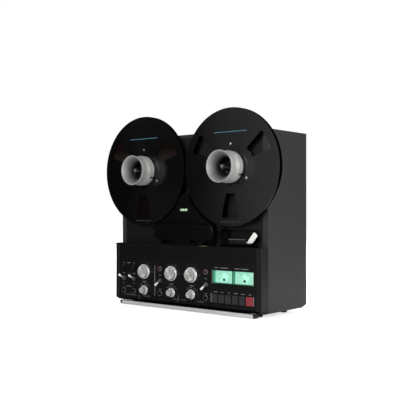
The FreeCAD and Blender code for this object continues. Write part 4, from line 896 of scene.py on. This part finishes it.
@dataclass
class PlainParts:
    """CAD pieces whose shape is finished and that need only their material."""

    key_edge: float = 1.2
    # Width of the painted shade along the right edge of each grey key.
    """Width of the dark right edge of each grey key."""
    looks: dict[str, Finish] = field(default_factory=lambda: {
        "cabinet": CASE_LACQUER, "rear_cover": BACK_PAINT, "cabinet_feet": FOOT_RUBBER,
        "control_housing": POWDER_COAT, "control_panel": PANEL_BLACK, "deck_plate": DECK_BLACK,
        "chassis_frame": CAST_METAL, "drive_motors": CAST_METAL, "power_transformer": CORE_STEEL,
        "circuit_boards": BOARD_GREEN, "rear_sockets": REAR_FITTINGS, "head_base": GLOSS_BLACK,
        "tape_heads": HEAD_STEEL, "tape_guides": GUIDE_BLACK, "head_cover": GLOSS_BLACK,
        "counter_window": WINDOW_DARK, "splicing_block": RECESS_METAL.at(178.3, 167),
        "panel_bushings": NICKEL, "control_bodies": BLACK_ABS, "indicator_lamps": LAMP_BEZEL,
        "meter_housing": BLACK_ABS, "meter_window": CLEAR_ACRYLIC, "capstan_shaft": BRIGHT_STEEL,
        "pinch_arm": GUIDE_BLACK, "pinch_roller": ROLLER_RUBBER,
        "left_guide_roller": ROLLER_STEEL.at(-103, 198),
        "right_guide_roller": ROLLER_STEEL.at(103, 198), "left_meter_needle": NEEDLE_LACQUER,
        "right_meter_needle": NEEDLE_LACQUER, "head_cover_flap": GLOSS_BLACK,
        "cover_flap": BLACK_ABS, "flap_rail": RAIL_SILVER, "reset_button": BLACK_ABS,
        "monitor_button": BLACK_ABS, "transport_key_f": RED_ABS, "toggle_lever_a": CHROME,
        "toggle_lever_b": CHROME, "toggle_lever_c": CHROME, "toggle_lever_d": CHROME,
    })

    def build(self) -> None:
        """Dress every node in the list, and the grey keys, whose right edges get painted shade."""
        for name, finish in self.looks.items():
            dress(name, finish)
        for letter in "abcde":
            name = "transport_key_" + letter
            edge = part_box(name)[1][0] / MM - self.key_edge
            dress(name, replace(SATIN_ABS, name=SATIN_ABS.name + " " + letter,
                                patches=(Patch(Region.RIGHT_X, edge, "040404"),)))


@dataclass
class Reel:
    """One reel with its turntable, adapter, hub screws, painted shadow in its key slots, and
    printed lines.
    """

    side: str
    hub: Spot
    wound: bool = False
    face: float = -16.7
    screw_circle: float = 51.5
    screw_angles: tuple[float, ...] = (90, -30, 210)
    screw_radius: float = 3.3
    screw_crown: float = 0.45
    slot_angles: tuple[float, ...] = (33, -27, -90, 150, 210)
    slot_reach: tuple[float, float] = (38.3, 42.5)
    slot_width: float = 4.6
    rim_radius: float = 35.76
    rim_front: float = -25.0
    rim_slot: tuple[float, float] = (-34, -27)
    upper_line: tuple[float, float] = (79.0, 46.0)
    lower_line: tuple[float, float] = (-123.0, 27.0)
    """Height over the hub and half the length of each printed line."""
    line_width: float = 1.5
    ink: float = 0.05
    drum: tuple[tuple[float, float], ...] = (
        (4.2, -12.0), (18.9, -12.0), (19.5, -12.6), (19.5, -28.6), (20.0, -29.0),
        (30.6, -29.0), (31.0, -28.6), (31.0, -25.6), (34.4, -25.5), (35.3, -25.1),
        (35.7, -24.3), (35.7, -17.0), (35.9, -16.6))
    """Radius and depth of the adapter base, from the axle bore to behind the turntable's face."""
    collar: tuple[tuple[float, float], ...] = (
        (35.9, -16.6), (37.6, -16.6), (38.0, -16.2), (38.0, -6.55))
    # Radius and depth of the black ring that closes the base to the reel, in the reel's own black
    # and also painted shade for the gap.
    """Radius and depth of the black ring that closes the base to the reel."""

    def build(self) -> None:
        """Dress the CAD nodes of this side, and then add what rides on it."""
        dress(self.side + "_reel", REEL_BLACK.at(*self.hub))
        self.adapter()
        dress(self.side + "_adapter_sleeve", ADAPTER_SILVER.at(*self.hub))
        dress(self.side + "_turntable", TABLE_METAL.at(*self.hub))
        if self.wound:
            dress("tape_pack", TAPE_FILM.at(*self.hub))
        self.screws()
        self.slots()
        self.line("upper", *self.upper_line, TEAL_INK)
        self.line("lower", *self.lower_line, REEL_INK)

    def fit(self, shell: Shell, name: str, look: Finish, slot: str,
            smooth: float | None = None) -> bpy.types.Object:
        """Make a piece that turns with this reel."""
        return shell.piece("%s_%s" % (self.side, name), look, slot, self.side + "_side", smooth)

    def adapter(self) -> None:
        """Adapter base, a drum with a bored well that steps in at the reel, and its black ring,
        which also stands as painted shade for the gap at the reel.

        Both are turned profiles.  The drum's runs over the floor, up the well, round the neck
        and the stepped rim, and back.
        """
        base = lathe(self.drum, self.hub, 120)
        piece = self.fit(base, "adapter_base", ADAPTER_WELL.at(*self.hub), "adapter_metal", 28)
        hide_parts(self.side + "_hub_adapter")
        ring = lathe(self.collar, self.hub, 120)
        self.fit(ring, "adapter_gap_ring", REEL_BLACK.at(*self.hub), "adapter_metal", 28)

    def screws(self) -> None:
        """Three countersunk heads on the hub circle, each a flat lens."""
        shell, crown = Shell(), self.face - self.screw_crown
        for centre in polar(self.hub, self.screw_circle, self.screw_angles):
            shell.join(lathe([(0.0, crown), (1.2, crown + 0.03), (2.2, crown + 0.2),
                              (self.screw_radius, self.face + 0.1)], centre, 24))
        self.fit(shell, "hub_screws", BRIGHT_STEEL, "polished_steel", 35)

    def slots(self) -> None:
        """Painted shadow in the mouths of the key slots: one on the adapter's rim, the others on
        the reel.

        The first is part of a turned band between two angles, just off the rim.
        """
        band = polar(self.hub, self.rim_radius, np.linspace(*self.rim_slot, 6))
        shell = net(np.stack([upright(band, self.rim_front), upright(band, self.face)]))
        for angle in self.slot_angles:
            start, end = (polar(self.hub, reach, angle) for reach in self.slot_reach)
            shell.join(prism(slanted_bar(start, end, self.slot_width), self.face - 0.06,
                             self.face))
        self.fit(shell, "key_slot_shadows", SHADOW_BLACK, "reel_metal")

    def line(self, name: str, rise: float, half: float, look: Finish) -> None:
        """One plain printed line where reels carry their print.

        Args:
            name: Where it is.
            rise: Its height over the hub.
            half: Half its length.
            look: Its ink.
        """
        (x, z), width = self.hub, self.line_width
        bar = slab(x - half, x + half, z + rise - width / 2, z + rise + width / 2,
                   self.face - self.ink, self.face)
        self.fit(bar, name + "_line", look, "reel_metal")


@dataclass(frozen=True)
class KnobSize:
    """Radii of a knob's skirt and cap, its thicknesses, and how many flutes its grip has."""

    skirt: float
    cap: float
    skirt_thick: float
    height: float
    flutes: int


@dataclass
class Knobs:
    """Six turned knobs, rebuilt with grip flutes, turned steps and an index mark."""

    selector_row: float = 41.2
    bore: float = 6.0
    shaft: float = 3.0
    shaft_end: float = -8.7
    gap: float = 0.3
    mark_half: float = 1.2
    flute_points: int = 8
    groove_share: float = 0.56
    level: KnobSize = KnobSize(skirt=17.8, cap=14.4, skirt_thick=4.0, height=10.7, flutes=36)
    selector: KnobSize = KnobSize(skirt=11.25, cap=7.2, skirt_thick=3.2, height=12.7, flutes=20)

    def build(self) -> None:
        """Replace each CAD knob by its finished one."""
        for letter, x in zip("abc", KNOB_COLUMNS):
            self.knob("level_knob_" + letter, (x, LEVEL_ROW), self.level)
            self.knob("selector_knob_" + letter, (x, self.selector_row), self.selector)

    def knob(self, name: str, axis: Spot, size: KnobSize) -> None:
        """One knob: shaft bore, skirt with a rounded edge, fluted cap and dished face.

        Args:
            name: The CAD node that it stands for, and the body.
            axis: Column and row.
            size: Its sizes.
        """
        skirt, cap = size.skirt, size.cap
        back, face = PANEL - self.gap, PANEL - size.height
        step = back - size.skirt_thick
        shell = lathe([(0.0, face + 0.5), (cap * 0.35, face + 0.45), (cap * 0.8, face + 0.15),
                       (cap - 1.0, face), (cap - 0.45, face + 0.1), (cap - 0.1, face + 0.5),
                       (cap, face + 1.0), (cap, step - 1.4), (cap - 0.15, step - 0.6),
                       (cap + 0.2, step - 0.1), (skirt - 1.2, step), (skirt - 0.35, step + 0.25),
                       (skirt, step + 0.9), (skirt, back - 0.3), (skirt - 0.3, back),
                       (self.bore, back)], axis, 144)
        shell.join(lathe([(self.bore, back), (self.bore, back - 3.2), (self.shaft, back - 3.2),
                          (self.shaft, self.shaft_end), (0.0, self.shaft_end)], axis, 48))
        piece = shell.piece(name + "_turned", KNOB_SILVER.at(*axis), "knob_metal", name, 28)
        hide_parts(name)
        x, z = axis
        mark = prism(round_rect(x - self.mark_half, x + self.mark_half, z + cap + 0.4,
                                z + skirt - 1.1, 0.3), step - 0.06, step + 0.1)
        mark.piece(name + "_mark", DARK_INK, "knob_metal", name, None)
        grip = lathe([(cap + 0.02, face + 1.1), (cap + 0.35, face + 1.3), (cap + 0.35, step - 0.9),
                      (cap + 0.05, step - 0.5)], axis, self.flute_points * size.flutes,
                     size.flutes)
        grip.piece(name + "_grip", GRIP_SILVER, "knob_metal", name)
        middle = cap * self.groove_share
        ring = lathe([(middle - 0.45, face + 0.34), (middle - 0.3, face + 0.22),
                      (middle + 0.3, face + 0.2), (middle + 0.45, face + 0.32)], axis, 96)
        ring.piece(name + "_groove", GROOVE_GREY, "knob_metal", name)


@dataclass
class PanelPrint:
    """Everything that is printed on the control panel, kept to plain lines and figures."""

    front: float = PANEL - 0.06
    back: float = PANEL + 0.01
    dot_circle: float = 21.6
    dot_radius: float = 0.55
    figure_circle: float = 25.4
    figure_height: float = 2.2
    first_dot: float = 240.0
    dot_step: float = 30.0
    flap_front: float = -23.86
    """Depth of the print on the flap, which stands a little before the panel."""
    flap_top: float = 25.1
    seam: float = 0.2
    olive_width: float = 0.7
    rows: tuple[tuple[float, float, tuple[Spot, ...]], ...] = (
        (105.8, 1.1, ((-197.7, 5), (-181, 9), (-163, 5))),
        (79.6, 1.1, ((-197.7, 8), (-162.8, 8))),
        (55.0, 1.1, ((-197.7, 3.4), (-162.8, 3.4))),
        (47.2, 1.1, ((-180, 20),)),
        (80.6, 1.1, ((-73.6, 6), (69.4, 6))),
        (46.6, 1.1, ((-73.6, 8), (69.4, 7))),
        (26.6, 0.6, ((-190, 12), (-168, 30), (-120, 26), (-22, 22), (2, 16), (54, 22))),
        (107.6, 1.2, ((100.8, 9.4), (122.2, 23), (159, 14.5), (180, 21))),
        (52.6, 1.2, ((98, 11), (117.3, 6), (136.6, 6), (155.9, 10), (175.2, 11), (194.5, 7))))
    """Z of each row of pale strokes, their height, and X and width of each."""
    dividers: tuple[tuple[float, ...], ...] = (
        (-91.2, 66.8, 0.7, 74), (85.1, 38.2, 1.0, 20), (204.1, 38.2, 1.0, 20),
        (88.3, 86.8, 0.7, 31.5), (203.6, 86.8, 0.7, 31.5))
    """X, Z, width and height of each white line."""
    flap_lines: tuple[tuple[float, ...], ...] = ((-143, 17, 27), (-15, 20, 36))
    """X, lowest and highest Z of each olive line that crosses the flap's upper edge."""
    legend_strokes: tuple[tuple[float, ...], ...] = (
        (0, 61.6, 13, 1.1), (-14, 52.2, 4.4, 0.9), (-8.6, 55.6, 4.4, 0.9),
        (0, 56.8, 4.4, 0.9), (8.6, 55.6, 4.4, 0.9), (14, 52.2, 4.4, 0.9))
    """X from the knob, Z, width and height of the strokes over a selector knob."""

    def stroke(self, shell: Shell, x: float, z: float, width: float, height: float) -> None:
        """One level bar about a middle point."""
        shell.join(slab(x - width / 2, x + width / 2, z - height / 2, z + height / 2,
                        self.front, self.back))

    def build(self) -> None:
        """Lay down the pale, white and olive print."""
        pale, white, olive = Shell(), Shell(), Shell()
        for x in KNOB_COLUMNS:
            self.scale(pale, x)
            for offset, z, width, height in self.legend_strokes:
                self.stroke(pale, x + offset, z, width, height)
        for z, height, strokes in self.rows:
            for x, width in strokes:
                self.stroke(pale, x, z, width, height)
        for line in self.dividers:
            self.stroke(white, *line)
        for x, low, high in self.flap_lines:
            start, end = self.flap_top + self.seam, self.flap_top - self.seam
            self.stroke(olive, x, (start + high) / 2, self.olive_width, high - start)
            half = self.olive_width / 2
            olive.join(slab(x - half, x + half, low, end, self.flap_front,
                            self.flap_front + self.back - self.front))
        for tone, shell, look in (("pale", pale, PALE_INK), ("white", white, WHITE_INK),
                                  ("olive", olive, OLIVE_INK)):
            shell.piece("panel_print_" + tone, look, "panel_paint", smooth=None)

    def scale(self, shell: Shell, x: float) -> None:
        """Eleven dots round a level knob, 30 degrees apart over 300, and every other figure.

        Args:
            shell: Where the print goes.
            x: The knob's column.
        """
        angles = self.first_dot - self.dot_step * np.arange(11)
        for spot in polar((x, LEVEL_ROW), self.dot_circle, angles):
            shell.join(prism(polar(spot, self.dot_radius, np.arange(0, 360, 36)), self.front,
                             self.back))
        for index in (2, 4, 6, 8):
            spot = polar((x, LEVEL_ROW), self.figure_circle, angles[index])
            shell.join(figures(str(index), self.figure_height, spot, self.front))


@dataclass
class Meter:
    """One meter: lit films in its pane, its scale and the cap of its needle."""

    name: str
    left: float
    right: float
    pivot: Spot
    band: float
    creased: bool = False
    low: float = 72.0
    high: float = 101.5
    gap: float = 0.02
    wall: float = 0.12
    crease: float = 1.1
    card: float = -15.7
    glass: float = -20.7
    hub: float = 3.4
    arc: float = 15.6
    tick_end: float = 17.2
    figure_circle: float = 18.7
    figure_height: float = 1.7

    def build(self) -> None:
        """Line the pane with the lit film, print its scale and cap its needle."""
        self.tray()
        self.scale()
        self.cap()

    def fit(self, shell: Shell, name: str, look: Finish) -> None:
        """Make a flat piece of this meter's film or print."""
        shell.piece(name, look, "meter_plastic", smooth=None)

    def tray(self) -> None:
        """Lit film on the floor and the walls of a pane, open to the front.

        The walls are four rings of corners, joined row by row.  A darker band, and on one card the
        painted shade of a crease, run up the left side.
        """
        left, right = self.left + self.gap, self.right - self.gap
        low, high = self.low + self.gap, self.high - self.gap
        front, floor = self.glass + 0.25, self.card - 0.05
        base = floor - self.wall
        outer = corners(left, right, low, high)
        x0, x1 = left + self.wall, right - self.wall
        z0, z1 = low + self.wall, high - self.wall
        inner = corners(x0, x1, z0, z1)
        shell = net(np.stack([upright(outer, floor), upright(outer, front),
                              upright(inner, front), upright(inner, base)]), close_v=True)
        shell.faces.append([3, 2, 1, 0])
        self.fit(shell, "meter_wall_film_" + self.name, LIT_WALL)
        pool = LIT_SCALE.at((left + right) / 2 + 3, (low + high) / 2)
        self.fit(slab(x0, x1, z0, z1, base, floor), "meter_film_" + self.name, pool)
        edge = left + self.band
        self.fit(slab(x0, edge, z0, z1, base - 0.05, base - 0.02),
                 "meter_side_film_" + self.name, LIT_WALL)
        if self.creased:
            self.fit(slab(edge, edge + self.crease, z0, z1, base - 0.05, base - 0.02),
                     "meter_crease_shade", DARK_INK)

    def cap(self) -> None:
        """Domed dark cap on the needle's hub: a flat disc whose rim rolls off over 0.8 mm."""
        front, hub = self.card - 1.25, self.hub
        shell = lathe([(0.0, front), (hub - 0.8, front + 0.02), (hub - 0.2, front + 0.3),
                       (hub, front + 0.6), (hub, front + 0.9)], self.pivot, 40)
        shell.piece("needle_cap_" + self.name, BLACK_ABS, "needle_metal",
                    self.name + "_meter_needle")

    def scale(self) -> None:
        """An arc with ticks over 84 degrees, its last part thick and red, and figures."""
        front, back = self.card - 0.24, self.card - 0.15
        turning, first, last = 70, 132, 48
        dark = prism(ring_sector(self.pivot, 15.2, self.arc, turning, first, 30), front, back)
        red = prism(ring_sector(self.pivot, 15.0, self.arc + 0.2, last, turning, 16), front, back)
        for shell, start, width, angles in ((dark, self.arc, 0.3, (132, 122, 112, 102, 92, 81, 70)),
                                            (red, self.arc + 0.2, 0.35, (63, 55.5, 48))):
            for angle in angles:
                tick = slanted_bar(polar(self.pivot, start, angle),
                                   polar(self.pivot, self.tick_end, angle), width)
                shell.join(prism(tick, front, back))
        for shell, angle, text in ((dark, first, "20"), (dark, 112, "10"), (dark, 92, "5"),
                                   (dark, turning, "0"), (red, last, "3")):
            spot = polar(self.pivot, self.figure_circle, angle)
            shell.join(figures(text, self.figure_height, spot, front, 0.08))
        self.fit(dark, "meter_scale_" + self.name, SCALE_INK)
        self.fit(red, "meter_scale_red_" + self.name, SCALE_RED)


@dataclass
class SmallTrim:
    """Lenses, counter figures and other small pieces that sit on the CAD solids."""

    lens_row: float = 96.0
    lens_columns: tuple[tuple[str, float], ...] = (("left", -73.6), ("right", 69.4))
    lens_rise: float = 3.43
    counter_spot: Spot = (-1.0, 237.85)
    counter_front: float = -18.62
    counter_height: float = 5.2
    post_spots: tuple[Spot, ...] = ((-34.5, 158.6), (34.5, 158.6))
    gasket: tuple[tuple[float, ...], ...] = (
        (210.6, 212.0, 155.2, 408.6, 0.92, 1.02), (-212.5, -211.3, 155.2, 408.6, 0.92, 1.02),
        (-212.5, 212.5, 408.3, 409.2, 0.9, 1.0), (-226.05, -225.9, 11.2, 154.6, -0.5, 0.5),
        (225.9, 226.05, 11.2, 154.6, -0.5, 0.5))
    # Left, right, low, high, front and back of each strip of painted shadow in the seams of deck
    # and housing.
    """Left, right, low, high, front and back of each strip in the seams of deck and housing."""
    # Left, right, low, high, front and back of the painted shadow on the recess sill.
    sill: tuple[float, ...] = (94.0, 204.0, 155.1, 158.2, 0.9, 0.98)
    # Left, right, low, high, front and back of the painted highlight along the splicing block's top
    # edge.
    edge_line: tuple[float, ...] = (118.4, 166.0, 171.2, 171.9, -0.5, -0.42)
    top_mark: tuple[float, ...] = (50.0, 73.0, 154.72, 155.3, -22.05, -21.95)
    lip: tuple[tuple[float, float, float], ...] = (
        (-225.0, -23.8, 17.74), (225.0, -23.8, 17.74), (225.0, -5.8, 10.94),
        (-225.0, -5.8, 10.94))
    # Corners of the sloped sheet of painted shadow under the lip.
    """Corners of the sloped liner under the lip."""
    lever_pivot: Spot = (178.3, 167.0)
    lever_hole: float = 1.9
    lever: tuple[Spot, ...] = ((171.4, 164.6), (171.9, 164.3), (185.8, 164.3), (186.6, 164.7),
                               (199.5, 180.8), (199.5, 182.0), (191.5, 188.1), (190.3, 187.9))
    """Outline of the cutter lever, counter-clockwise seen from the front."""

    def build(self) -> None:
        """Add lenses, counter figures, painted shadow in the seams, the recess, post screws and the
        top mark.
        """
        front = PANEL - self.lens_rise
        for name, x in self.lens_columns:
            shell = lathe([(0.0, front), (1.95, front + 0.01), (2.8, front + 0.45),
                           (3.35, front + 1.1), (3.54, front + 1.65), (3.54, front + 1.9)],
                          (x, self.lens_row), 32)
            shell.piece("lamp_lens_" + name, RED_LENS, "lamp_plastic")
        digits = figures("0.00.00", self.counter_height, self.counter_spot,
                         self.counter_front, thick=0.08, squeeze=0.95)
        digits.piece("counter_figures", LIT_FIGURES, "window_clear", smooth=None)
        # The dark strips in the seams are painted shadow.
        seam = Shell()
        for strip in self.gasket:
            seam.join(slab(*strip))
        seam.piece("deck_edge_shadow_seam", SHADOW_BLACK, "deck_paint", smooth=None)
        self.recess()
        screws = Shell()
        for spot in self.post_spots:
            screws.join(lathe([(0.0, -29.1), (1.0, -29.08), (1.6, -28.95)], spot, 20))
        screws.piece("hinge_post_screws", ROLLER_STEEL, "base_metal")
        slab(*self.top_mark).piece("housing_top_mark", OLIVE_INK, "housing_paint", smooth=None)

    def recess(self) -> None:
        """The cutter lever, painted shadow on the sill of the recess, a painted highlight on an
        edge and painted shadow under the lip.

        The lever is a net of six rings: hole, bevel and edge before, the same behind.
        """
        pivot = np.array(self.lever_pivot)
        edge = self.around(np.array(self.lever), pivot)
        away = edge - pivot
        hole = pivot + away / np.linalg.norm(away, axis=1)[:, None] * self.lever_hole
        bevel = pivot + away * 0.98
        rings = ((hole, -3.7), (bevel, -3.7), (edge, -3.4), (edge, -1.0), (bevel, -0.7),
                 (hole, -0.7))
        bar = net(np.stack([upright(ring, depth) for ring, depth in rings]), True, True)
        lever = bar.piece("cutter_lever_bar", PALE_ABS, "cutter_plastic", "cutter_lever", 28)
        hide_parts("cutter_lever")
        # The dark strip on the sill is painted shadow.
        slab(*self.sill).piece("recess_sill_shadow", SHADOW_BLACK, "deck_paint", smooth=None)
        # The pale strip along the top edge is a painted highlight.
        line = slab(*self.edge_line)
        line.piece("splicing_edge_highlight", PALE_INK, "splicing_metal", smooth=None)
        # The black sheet under the lip is painted shadow.
        shadow_sheet = Shell().add(np.array(self.lip), [(3, 2, 1, 0)])
        shadow_sheet.piece("lip_shadow_sheet", SHADOW_BLACK, "housing_paint", smooth=None)

    def around(self, outline: np.ndarray, pivot: np.ndarray, steps: int = 40) -> np.ndarray:
        """Points where rays from the pivot meet a convex outline, its corners among them.

        A ray of unit length meets the line of an edge at the edge's height over the pivot,
        divided by how much of the ray faces it.  The nearest of the lines counts.

        Args:
            outline: Corners round the pivot, counter-clockwise.
            pivot: Where the rays start.
            steps: How many rays there are besides those to the corners.

        Returns:
            One point for each ray.
        """
        away = outline - pivot
        angles = np.concatenate([np.linspace(-math.pi, math.pi, steps, endpoint=False),
                                 np.arctan2(away[:, 1], away[:, 0])])
        rays = polar((0, 0), 1.0, np.degrees(np.sort(angles)))
        normals = (np.roll(away, -1, axis=0) - away)[:, ::-1] * (1, -1)
        heights = (away * normals).sum(axis=1)
        nearest = (rays @ normals.T / heights).max(axis=1)
        return pivot + rays / nearest[:, None]


@dataclass
class RearTrim:
    """Screws of the rear cover and the insulators of the line sockets."""

    cover: float = 152.5
    columns: tuple[float, ...] = (-208.0, 208.0)
    rows: tuple[float, ...] = (27.0, 121.5, 216.0, 310.5, 405.0)
    crown: float = 1.1
    slot_reach: float = 1.3
    slot_width: float = 0.4
    socket_face: float = 157.8
    socket_middle: Spot = (-120.0, 57.0)
    half_pitch: float = 9.0

    def build(self) -> None:
        """Set twelve equal screws along the cover's edge and a ring in every socket."""
        screws, slots = Shell(), Shell()
        crown = self.cover + self.crown
        for spot in [*((x, z) for x in self.columns for z in self.rows),
                     (0.0, self.rows[0]), (0.0, self.rows[-1])]:
            screws.join(lathe([(2.3, self.cover), (2.3, self.cover + 0.3), (1.7, crown - 0.2),
                               (0.8, crown), (0.0, crown + 0.02)], spot, 24))
            # The dark cross in each screw head is painted shadow for its slots.
            for tilt in (30, 120):
                slot = slanted_bar(polar(spot, -self.slot_reach, tilt),
                                   polar(spot, self.slot_reach, tilt), self.slot_width)
                slots.join(prism(slot, crown - 0.3, crown + 0.05))
        screws.piece("rear_cover_screws", NICKEL, "back_paint")
        slots.piece("rear_cover_screw_slot_shadows", SHADOW_BLACK, "back_paint", smooth=None)
        x, z = self.socket_middle
        low, high = self.socket_face - 0.05, self.socket_face + 0.08
        for name, column, finish in (("left", x + self.half_pitch, PALE_ABS),
                                     ("right", x - self.half_pitch, RED_RING)):
            rings = Shell()
            for row in (z - self.half_pitch, z + self.half_pitch):
                rings.join(lathe([(3.2, low), (3.2, high), (1.9, high), (1.9, low)],
                                 (column, row), 32))
            rings.piece("line_socket_rings_" + name, finish, "socket_metal")


def main() -> None:
    """Build and report every sub-assembly in order."""
    logging.basicConfig(level=logging.INFO, format="%(name)s: %(message)s")
    for part in (Studio(), PlainParts(), Reel("supply", (-135.1, 334.5), wound=True),
                 Reel("takeup", (135.1, 334.5)), Knobs(), PanelPrint(),
                 Meter("left", 89.0, 144.1, (117.8, 80.6), band=3.6),
                 Meter("right", 146.5, 202.5, (175.3, 80.6), band=1.0, creased=True),
                 SmallTrim(), RearTrim()):
        part.build()
        LOG.info("%s done, %d pieces shown", type(part).__name__, len(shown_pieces()))


if __name__ == "__main__":
    main()
